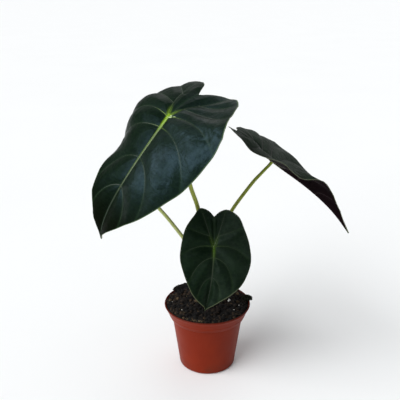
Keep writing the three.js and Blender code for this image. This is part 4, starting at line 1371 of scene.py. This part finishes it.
def drain_tree():
    """Cuts round holes through the floor on a ring round the axis."""
    tree, given = new_tree("drain_holes", {
        "Count": ("NodeSocketInt", DRAIN_COUNT),
        "Ring": ("NodeSocketFloat", 0.016),
        "Radius": ("NodeSocketFloat", 0.003),
        "Height": ("NodeSocketFloat", 0.002),
        "Crisp": ("NodeSocketFloat", math.radians(40)),
        "Material": ("NodeSocketMaterial", None),
    })
    inputs = {"Resolution": given["Count"], "Radius": given["Ring"]}
    ring = add(tree, "GeometryNodeCurvePrimitiveCircle", inputs).outputs[0]
    inputs = {"Vertices": 40, "Radius": given["Radius"], "Depth": 0.01}
    cutter = add(tree, "GeometryNodeMeshCylinder", inputs).outputs["Mesh"]
    lift = add(tree, "ShaderNodeCombineXYZ", {2: given["Height"]}).outputs[0]
    raised = add(tree, "GeometryNodeTransform", {"Geometry": cutter, "Translation": lift}).outputs[0]
    spots = add(tree, "GeometryNodeCurveToPoints", {"Curve": ring}, mode="EVALUATED").outputs[0]
    placed = add(tree, "GeometryNodeInstanceOnPoints", {"Points": spots, "Instance": raised}).outputs[0]
    cutters = add(tree, "GeometryNodeRealizeInstances", {0: placed}).outputs[0]
    cut = add(tree, "GeometryNodeMeshBoolean", {"Mesh 1": given["Geometry"], "Mesh 2": cutters},
              operation="DIFFERENCE", solver="EXACT").outputs[0]
    real = add(tree, "GeometryNodeRealizeInstances", {0: cut}).outputs[0]
    smooth = add(tree, "GeometryNodeSetShadeSmooth", {0: real}).outputs[0]
    angle = add(tree, "GeometryNodeInputMeshEdgeAngle").outputs[0]
    sharp = maths(tree, "GREATER_THAN", angle, given["Crisp"])
    inputs = {"Geometry": smooth, "Selection": sharp, "Shade Smooth": False}
    crisp = add(tree, "GeometryNodeSetShadeSmooth", inputs, domain="EDGE").outputs[0]
    painted_end(tree, crisp, given["Material"])
    return tree


run_tree(drain_tree(), pot, {
    "Count": DRAIN_COUNT, "Ring": sum(CHANNEL) / 2 * MM, "Radius": DRAIN_RADIUS * MM,
    "Height": (FLOOR + CHANNEL_LIFT / 2) * MM, "Material": POT_PLASTIC,
})
hand_over(pot, "pot_plastic", "pot")

# %% [markdown]
# ## Soil
# Potting soil is dark peat full of crumbs, bark chips, a few white grains of perlite and fine fibres.
# The ground itself is one closed body that fills the pot. Its top is uneven by a formula,
# because bumps in its finish alone would not cast the small shadows of real clods.
# Each kind of matter has a ramp of shades, and each grain picks its own place on that ramp.

# %% Soil finishes
# Each kind of matter: its shades from dark to light, the height of its bumps and their scale
GROUND_KINDS = {
    "peat": (((4, 3, 3), (10, 8, 6), (32, 24, 17), (78, 60, 42)), 0.4, 700),
    "bark": (((9, 7, 6), (34, 25, 18), (62, 48, 34), (112, 94, 68)), 0.3, 900),
    "perlite": (((170, 168, 160), (214, 212, 205), (240, 239, 235)), 0.2, 1200),
    "fibre": (((26, 19, 13), (58, 46, 32), (112, 98, 70)), 0.1, 1500),
    "moss": (((10, 13, 8), (22, 28, 15), (38, 46, 25)), 0.2, 1500),
}
# Patches a few millimetres wide leave these almost black
DARK_PATCH_KINDS = ("peat", "bark")


def ground_finish(name):
    """Loose matter whose shade is picked by each grain's own tint."""
    shades, rough_height, scale = GROUND_KINDS[name]
    material, tree, shader = new_material(name)
    place, tint = object_place(tree), own(tree, "tint")
    speck = noise(tree, place, scale, 4.0, 0.65)
    picked = maths(tree, "ADD", times(tree, tint, 0.8), times(tree, speck, 0.2))
    ramp = add(tree, "ShaderNodeValToRGB", {0: picked})
    stops = ramp.color_ramp.elements
    stops[0].position, stops[0].color = 0.1, colour(*shades[0])
    stops[1].position, stops[1].color = 1.0, colour(*shades[-1])
    for number, shade in enumerate(shades[1:-1], start=1):
        stops.new(0.1 + 0.9 * number / (len(shades) - 1)).color = colour(*shade)
    dark = eased(tree, speck, 0.3, 0.6, 0.6, 0.0)
    whole = mixed(tree, dark, ramp.outputs[0], colour(*shades[0]))
    if name in DARK_PATCH_KINDS:
        dark_patches = eased(tree, noise(tree, place, 130.0, 3.0, 0.6), 0.44, 0.6, 0.0, 0.8)
        whole = mixed(tree, dark_patches, whole, colour(*shades[0]))
    roughness = eased(tree, speck, 0.2, 0.8, 0.75, 1.0)
    surface(tree, shader, Base_Color=whole, Roughness=roughness, Specular_IOR_Level=0.25)
    bumped(tree, shader, noise(tree, place, 2.5 * scale, 5.0, 0.7), rough_height * MM, 0.9)
    return material


GROUNDS = {name: ground_finish(name) for name in GROUND_KINDS}
print("soil finishes:", ", ".join(GROUNDS))

# %% Top of the soil
# Room between the soil and the pot
CLEARANCE = 0.35
SOIL_EDGE_HEIGHT = 60.6
SOIL_CROWNING = 2.2
SOIL_ROUGHNESS = 0.7
SOIL_SIDES = 180
SOIL_RINGS = 64


def soil_surface(x, y):
    """Height of the soil at a place, without its clods."""
    share = np.hypot(x, y) / RIM_RADIUS
    uneven = np.sin(0.31 * x + 1.7) * np.cos(0.27 * y - 0.4) + 0.6 * np.sin(0.52 * (x - y))
    return (SOIL_EDGE_HEIGHT + SOIL_CROWNING * (1 - share ** 2)
            + SOIL_ROUGHNESS * uneven * (1 - share ** 4))


def clods(x, y):
    """Small clods in the top of the soil, in millimetres."""
    broad = np.sin(1.1 * x + 1.3 * np.sin(0.8 * y)) * np.sin(1.0 * y + 1.6 * np.sin(0.7 * x))
    small = np.sin(3.1 * x + 2.0 * np.sin(2.3 * y + 1.0)) * np.sin(2.9 * y + 1.7 * np.sin(2.6 * x))
    return 0.55 * broad + 0.2 * small


def soil_top(radius, inner):
    """The top of the soil as rings of points from the wall inwards."""
    angles = np.linspace(0, 2 * math.pi, SOIL_SIDES, endpoint=False)
    rings = []
    for r in np.linspace(radius, inner, SOIL_RINGS + 1):
        x, y = r * np.cos(angles), r * np.sin(angles)
        fade = np.clip((radius - r) / 2, 0, 1)
        rings.append(np.stack([x, y, soil_surface(x, y) + clods(x, y) * fade], axis=1))
    return rings


def soil_faces(rings):
    """Quads between rings that have a point for each side of the soil."""
    starts = range(0, len(rings) * SOIL_SIDES, SOIL_SIDES)
    return [face for a, b in zip(starts, starts[1:]) for face in ring_band(a, b, SOIL_SIDES)]


middle, edge = soil_surface(np.array([0.0, RIM_RADIUS]), np.zeros(2))
print(f"the soil is {middle:.1f} mm high in the middle and {edge:.1f} mm at the rim")

# %% Soil body
WALL_RINGS = 40
# The innermost rings are this small, and one face closes each
SOIL_HOLE = 0.01


def soil_piece():
    """The soil from the middle of its underside, up along the pot's wall and in over its top."""
    inset, step = WALL + CLEARANCE, POT_HEIGHT - COLLAR_HEIGHT
    lowest = FLOOR + CHANNEL_LIFT + CLEARANCE
    wall = [(SOIL_HOLE, lowest), (BASE_RADIUS - BASE_ROUNDING, lowest),
            (BASE_RADIUS - inset, BASE_ROUNDING + 4), (BODY_TOP_RADIUS - inset, step - 0.8),
            (COLLAR_FOOT_RADIUS - inset, step + 1.6)]
    angles = np.linspace(0, 2 * math.pi, SOIL_SIDES, endpoint=False)
    rings = [np.stack([r * np.cos(angles), r * np.sin(angles), np.full(SOIL_SIDES, z)], axis=1)
             for r, z in evenly(np.array(wall, float), WALL_RINGS)]
    rings += soil_top(collar_radius(SOIL_EDGE_HEIGHT) - inset, SOIL_HOLE)
    faces = soil_faces(rings)
    top = (len(rings) - 1) * SOIL_SIDES
    faces.append(tuple(range(SOIL_SIDES))[::-1])
    faces.append(tuple(range(top, top + SOIL_SIDES)))
    points = np.vstack(rings)
    piece = new_object("soil_body", points, faces, stored={"tint": np.full(len(points), 0.12)})
    piece.data.materials.append(GROUNDS["peat"])
    return piece


hand_over(soil_piece(), "potting_soil", "soil")

# %% [markdown]
# ## What lies on the soil
# Thousands of crumbs and chips cover the soil, and no two are alike, so chance has to place them.
# A particle system could do that, but its grains would still have to be made real and joined.
# A tree does it all: it spreads points, puts a grain on each, turns and scales it by chance
# from a fixed seed, and roughens it.
# Each point of the ground stores how welcome a grain is there: 0 in the crown and under a lump,
# and 1 elsewhere.

# %% Chance and roughness in a tree
FULL_TURN = (6.283, 6.283, 6.283)
# Large grains are rare: a random share is raised to this power before it picks a size
RARITY = 2.5
# The noise that roughens grains: how fine it is and how far it pushes, in metres
ROUGH_SCALE = 900.0
ROUGH_PUSH = 0.003


def chance(tree, seed, low, high, kind="FLOAT"):
    """A random number, or a random vector, for each point."""
    first, second, made = {"FLOAT": ("Min_001", "Max_001", 1), "FLOAT_VECTOR": ("Min", "Max", 0)}[kind]
    node = tree.nodes.new("FunctionNodeRandomValue")
    node.data_type = kind
    given = {first: low, second: high, "Seed": seed}
    for socket in node.inputs:
        if socket.identifier in given:
            fill(tree, socket, given[socket.identifier])
    return node.outputs[made]


def grain_shape(tree, flatness, seeds):
    """A ball of a few faces, turned any way and squashed by chance: shape, turn and proportions."""
    ball = add(tree, "GeometryNodeMeshIcoSphere", {"Radius": 1.0, "Subdivisions": 1}).outputs[0]
    turn = chance(tree, seeds[2], (0.0, 0.0, 0.0), FULL_TURN, "FLOAT_VECTOR")
    low = add(tree, "ShaderNodeCombineXYZ", {axis: flatness for axis in range(3)}).outputs[0]
    return ball, turn, chance(tree, seeds[3], low, (1.0, 1.0, 1.0), "FLOAT_VECTOR")


def leaflet_shape(tree, outward, seeds):
    """A narrow cone that leans a little from the way the ground faces: shape, turn and proportions."""
    inputs = {"Vertices": 4, "Radius Bottom": 0.28, "Radius Top": 0.0, "Depth": 2.0}
    cone = add(tree, "GeometryNodeMeshCone", inputs).outputs["Mesh"]
    lean = chance(tree, seeds[2], (-0.6, -0.6, -3.1), (0.6, 0.6, 3.1), "FLOAT_VECTOR")
    inputs = {0: outward, 1: lean}
    turn = add(tree, "FunctionNodeRotateRotation", inputs, rotation_space="LOCAL").outputs[0]
    return cone, turn, chance(tree, seeds[3], (0.7, 0.7, 0.6), (1.3, 1.3, 1.2), "FLOAT_VECTOR")


def roughened(tree, geometry, amount):
    """Pushes every point a little by a fine noise at its place."""
    place = add(tree, "GeometryNodeInputPosition").outputs[0]
    inputs = {"Vector": place, "Scale": ROUGH_SCALE, "Detail": 2.0}
    jitter = add(tree, "ShaderNodeTexNoise", inputs).outputs["Color"]
    inputs = {0: jitter, 1: (0.5, 0.5, 0.5)}
    centred = add(tree, "ShaderNodeVectorMath", inputs, operation="SUBTRACT").outputs[0]
    inputs = {0: centred, "Scale": times(tree, amount, ROUGH_PUSH)}
    push = add(tree, "ShaderNodeVectorMath", inputs, operation="SCALE").outputs[0]
    return add(tree, "GeometryNodeSetPosition", {"Geometry": geometry, "Offset": push}).outputs[0]


print(f"half of the grains are in the lowest {0.5 ** RARITY:.0%} of the sizes")

# %% Scatter tree
def scatter_tree(name, shape):
    """Scatters grains or leaflets over a surface. shape is "grain" or "leaflet"."""
    tree, given = new_tree(name, {
        "Density": ("NodeSocketFloat", 1e5),
        "Smallest": ("NodeSocketFloat", 0.0004),
        "Largest": ("NodeSocketFloat", 0.0015),
        "Flatness": ("NodeSocketFloat", 0.6),
        "Roughen": ("NodeSocketFloat", 0.4),
        "Seed": ("NodeSocketInt", 1),
        "Material": ("NodeSocketMaterial", None),
    })
    seeds = {number: maths(tree, "ADD", given["Seed"], number) for number in (1, 2, 3, 4)}
    density = times(tree, named_input(tree, "welcome", "FLOAT"), given["Density"])
    inputs = {"Mesh": given["Geometry"], "Density": density, "Seed": given["Seed"]}
    spread = add(tree, "GeometryNodeDistributePointsOnFaces", inputs).outputs
    drawn = maths(tree, "POWER", chance(tree, seeds[1], 0.0, 1.0), RARITY)
    span = maths(tree, "SUBTRACT", given["Largest"], given["Smallest"])
    size = maths(tree, "ADD", given["Smallest"], times(tree, drawn, span))
    if shape == "grain":
        form, turn, uneven = grain_shape(tree, given["Flatness"], seeds)
    else:
        form, turn, uneven = leaflet_shape(tree, spread["Rotation"], seeds)
    scale = add(tree, "ShaderNodeVectorMath", {0: uneven, "Scale": size}, operation="SCALE").outputs[0]
    inputs = {"Points": spread["Points"], "Instance": form, "Rotation": turn, "Scale": scale}
    placed = add(tree, "GeometryNodeInstanceOnPoints", inputs).outputs[0]
    inputs = {"Geometry": placed, "Name": "tint", "Value": chance(tree, seeds[4], 0.0, 1.0)}
    tinted = add(tree, "GeometryNodeStoreNamedAttribute", inputs, data_type="FLOAT", domain="INSTANCE")
    real = add(tree, "GeometryNodeRealizeInstances", {0: tinted.outputs[0]}).outputs[0]
    end_tree(tree, roughened(tree, real, given["Roughen"]), given["Material"])
    return tree


GRAINS = scatter_tree("scattered_grains", "grain")
LEAFLETS = scatter_tree("moss_leaflets", "leaflet")
print("scatter trees:", len(GRAINS.nodes), "and", len(LEAFLETS.nodes), "nodes")

# %% Grains
# The bed stops just short of the pot's wall and leaves out the middle of the crown
GRAIN_EDGE = 36.9
BED_HOLE = 4.0
# Grains to a square centimetre, their sizes in millimetres, flatness, unevenness, seed and finish
GRAIN_KINDS = {
    "soil_crumbs": (56, (0.5, 3.4), 0.5, 0.55, 20, "peat"),
    "soil_bark": (10, (0.8, 3.4), 0.35, 0.7, 21, "bark"),
    "soil_perlite": (0.2, (0.4, 0.9), 0.75, 0.3, 22, "perlite"),
}


def soil_bed(name):
    """The top of the soil alone, as the ground that grains are scattered on."""
    rings = soil_top(GRAIN_EDGE, BED_HOLE)
    points = np.vstack(rings)
    welcome = np.clip((np.hypot(*points.T[:2]) - CROWN_RADIUS) / 2, 0, 1)
    return new_object(name, points, soil_faces(rings), stored={"welcome": welcome})


def grow_grains(bed, per_cm2, sizes, flatness, roughen, seed, finish):
    """Puts grains on a bed in place of the bed itself, as one plain mesh."""
    smallest, largest = sizes
    run_tree(GRAINS, bed, {
        "Density": per_cm2 * 1e4, "Smallest": smallest * MM, "Largest": largest * MM,
        "Flatness": flatness, "Roughen": roughen, "Seed": seed, "Material": GROUNDS[finish],
    })
    hand_over(bed, "potting_soil", "soil")


for name, kind in GRAIN_KINDS.items():
    grow_grains(soil_bed(name), *kind)

# %% [markdown]
# ## White grains in their places
# A few white grains of perlite catch the eye. Chance would put them elsewhere, so each has its own
# place, width and height. They are balls, built row by row, and roughened from a fixed seed.

# %% Placed perlite
# Place, half width and half height of the few white grains that catch the eye
PERLITE_SPOTS = (
    (20.3, -0.9, 1.5, 1.9), (24.0, -16.4, 0.8, 0.8), (26.6, -17.2, 0.5, 0.7),
    (29.2, -8.4, 0.5, 0.8), (-9.5, 18.0, 0.9, 0.8), (12.0, 27.0, 0.8, 0.8),
)
PERLITE_ROWS, PERLITE_SIDES = 8, 14
PERLITE_SEED = 51
# How high the middle of a grain lies above the soil, as a share of its half height
PERLITE_LIFT = 0.6


def ball_faces(first, rows, sides):
    """Quads between the rings of a ball that starts at a point on top."""
    starts = range(first, first + (rows + 1) * sides, sides)
    return [face for a, b in zip(starts, starts[1:]) for face in ring_band(a, b, sides, rising=False)]


def perlite_grains():
    """Rough little balls that sit in the soil."""
    random = np.random.default_rng(PERLITE_SEED)
    rows, sides = PERLITE_ROWS, PERLITE_SIDES
    points, faces = [], []
    for x, y, wide, high in PERLITE_SPOTS:
        first = len(points)
        ground = float(soil_surface(np.array(x), np.array(y)))
        for row in range(rows + 1):
            for side in range(sides):
                tilt, turn = math.pi * (0.04 + 0.92 * row / rows), 2 * math.pi * side / sides
                size = random.uniform(0.8, 1.0)
                points.append((x + wide * size * math.sin(tilt) * math.cos(turn),
                               y + wide * size * math.sin(tilt) * math.sin(turn),
                               ground + high * (PERLITE_LIFT + size * math.cos(tilt))))
        bottom = first + rows * sides
        faces += ball_faces(first, rows, sides)
        faces.append(tuple(range(first, first + sides)))
        faces.append(tuple(range(bottom, bottom + sides))[::-1])
    piece = new_object("perlite_placed", points, faces, stored={"tint": np.ones(len(points))})
    piece.data.materials.append(GROUNDS["perlite"])
    return piece


hand_over(perlite_grains(), "potting_soil", "soil")

# %% [markdown]
# ## Fibres
# Fine fibres of root and peat lie on the soil, and coarser litter has gathered at the front left of it.
# Each is a line with a width, so the strand tree sweeps them all at once, flat and thin.

# %% Fibres
FIBRE_COUNT = 60
FIBRE_SEED = 31
FIBRE_POINTS = 12
LITTER_COUNT = 26
# Where the litter lies: angles about the axis in degrees, and distances from it
LITTER_ANGLES = (212, 262)
LITTER_REACH = (35.2, 36.6)


def fibre_strand(random, angle, reach, length, half):
    """A fibre that lies on the soil, bent a little to one side."""
    heading, bow = random.uniform(0, 2 * math.pi), random.uniform(-0.5, 0.5)
    t = np.linspace(-0.5, 0.5, FIBRE_POINTS)
    x = reach * math.cos(angle) + length * (t * math.cos(heading) - bow * t * t * math.sin(heading))
    y = reach * math.sin(angle) + length * (t * math.sin(heading) + bow * t * t * math.cos(heading))
    keep = np.minimum(1, GRAIN_EDGE / np.hypot(x, y))
    x, y = x * keep, y * keep
    z = soil_surface(x, y) + 0.5 + 0.6 * np.cos(math.pi * t)
    upright = np.tile([0, 0, 1.0], (len(t), 1))
    widths = half * (1 - 1.2 * t ** 2)
    return {"points": np.stack([x, y, z], axis=1), "widths": widths, "facing": upright,
            "tint": random.random()}


def soil_fibres():
    """Thin fibres all over, then coarser and paler litter at the front left."""
    random = np.random.default_rng(FIBRE_SEED)
    strands = []
    for _ in range(FIBRE_COUNT):
        angle, reach = random.uniform(0, 2 * math.pi), 10 + 26 * math.sqrt(random.random())
        length, half = random.uniform(2.5, 7), random.uniform(0.08, 0.2)
        strands.append(fibre_strand(random, angle, reach, length, half))
    for _ in range(LITTER_COUNT):
        angle, reach = math.radians(random.uniform(*LITTER_ANGLES)), random.uniform(*LITTER_REACH)
        length, half = random.uniform(1.5, 5), random.uniform(0.3, 0.75)
        litter = fibre_strand(random, angle, reach, length, half)
        litter["tint"] = 0.6 + 0.4 * litter["tint"]
        strands.append(litter)
    return strands


fibres = sweep("soil_fibres", soil_fibres(), GROUNDS["fibre"], sides=6, flatness=0.6)
hand_over(fibres, "potting_soil", "soil")

# %% [markdown]
# ## Moss and soil on the rim
# A dark cushion of moss has grown over the rim at the right, and soil is heaped on it at the back left.
# Each lump is a rough dome with crumbs scattered on it by the tree that laid the grains.
# The moss carries hundreds of tiny leaflets as well, put there by the tree's twin for leaflets.

# %% Lumps on the rim
# Each lump: the place of its middle, its half sizes and its finish
RIM_LUMPS = {
    "moss_cushion": ((37.6, 4.6, 62.9), (5, 4, 3), "moss"),
    "rim_heap": ((-19, 29.5, 62.4), (9, 6, 2.2), "peat"),
    "rim_bank": ((-25.2, 27.4, 62.2), (6.6, 4.4, 2.0), "peat"),
    "rim_clod": ((-30.2, 22.8, 62.7), (3.0, 2.8, 2.3), "peat"),
}
LUMP_FLOOR = POT_HEIGHT + CLEARANCE
LUMP_ROWS, LUMP_SIDES = 24, 36
# Crumbs on a lump, in the order of the grains above but without a finish
LUMP_CRUMBS = (220, (0.3, 1.2), 0.5, 0.5, 42)


def lump_piece(name, at, size, finish):
    """A rough cushion that rests just above the rim where it reaches past the soil."""
    tilt = np.linspace(0, math.pi, LUMP_ROWS + 1)
    turn = np.linspace(0, 2 * math.pi, LUMP_SIDES, endpoint=False)
    tilt, turn = np.meshgrid(tilt, turn, indexing="ij")
    unit = np.stack([np.sin(tilt) * np.cos(turn), np.sin(tilt) * np.sin(turn), np.cos(tilt)], axis=-1)
    unit = unit.reshape(-1, 3)
    broad = np.abs(np.sin(5 * unit[:, 0] + 3 * unit[:, 2]) * np.sin(6 * unit[:, 1] + 2))
    fine = np.abs(np.sin(11 * unit[:, 0]) * np.sin(13 * unit[:, 1] + 1) * np.sin(9 * unit[:, 2] + 0.5))
    rough = 0.97 - 0.16 * broad - 0.14 * fine
    points = np.array(at) + unit * np.array(size) * rough[:, None]
    outside = np.hypot(points[:, 0], points[:, 1]) > RIM_RADIUS - 3
    points[:, 2] = np.where(outside, np.maximum(points[:, 2], LUMP_FLOOR), points[:, 2])
    welcome = np.where(points[:, 2] > LUMP_FLOOR + 0.2, 1.0, 0.0)
    stored = {"tint": np.full(len(points), 0.3), "welcome": welcome}
    piece = new_object(name, points, ball_faces(0, LUMP_ROWS, LUMP_SIDES), stored=stored)
    piece.data.materials.append(GROUNDS[finish])
    return piece


for name, (at, size, finish) in RIM_LUMPS.items():
    hand_over(lump_piece(name, at, size, finish), "potting_soil", "soil")
    grow_grains(lump_piece(name + "_crumbs", at, size, finish), *LUMP_CRUMBS, finish)

# %% Moss leaflets
LEAFLETS_PER_CM2 = 900
LEAFLET_SIZES = (0.25, 0.8)
LEAFLET_SEED = 41

leaflets = lump_piece("moss_leaflets", *RIM_LUMPS["moss_cushion"])
smallest, largest = LEAFLET_SIZES
run_tree(LEAFLETS, leaflets, {
    "Density": LEAFLETS_PER_CM2 * 1e4, "Smallest": smallest * MM, "Largest": largest * MM,
    "Roughen": 0.0, "Seed": LEAFLET_SEED, "Material": GROUNDS["moss"],
})
hand_over(leaflets, "potting_soil", "soil")

# %% [markdown]
# ## Sizes
# The boxes of the solids and of the dressed plant are both printed. The dressed plant has
# to fill the same box as its solids.

# %% Sizes
dressed_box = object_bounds()
for title, (low, high) in (("solids", cad_box), ("dressed", dressed_box)):
    print(title, [round(value / MM, 2) for value in low], [round(value / MM, 2) for value in high])
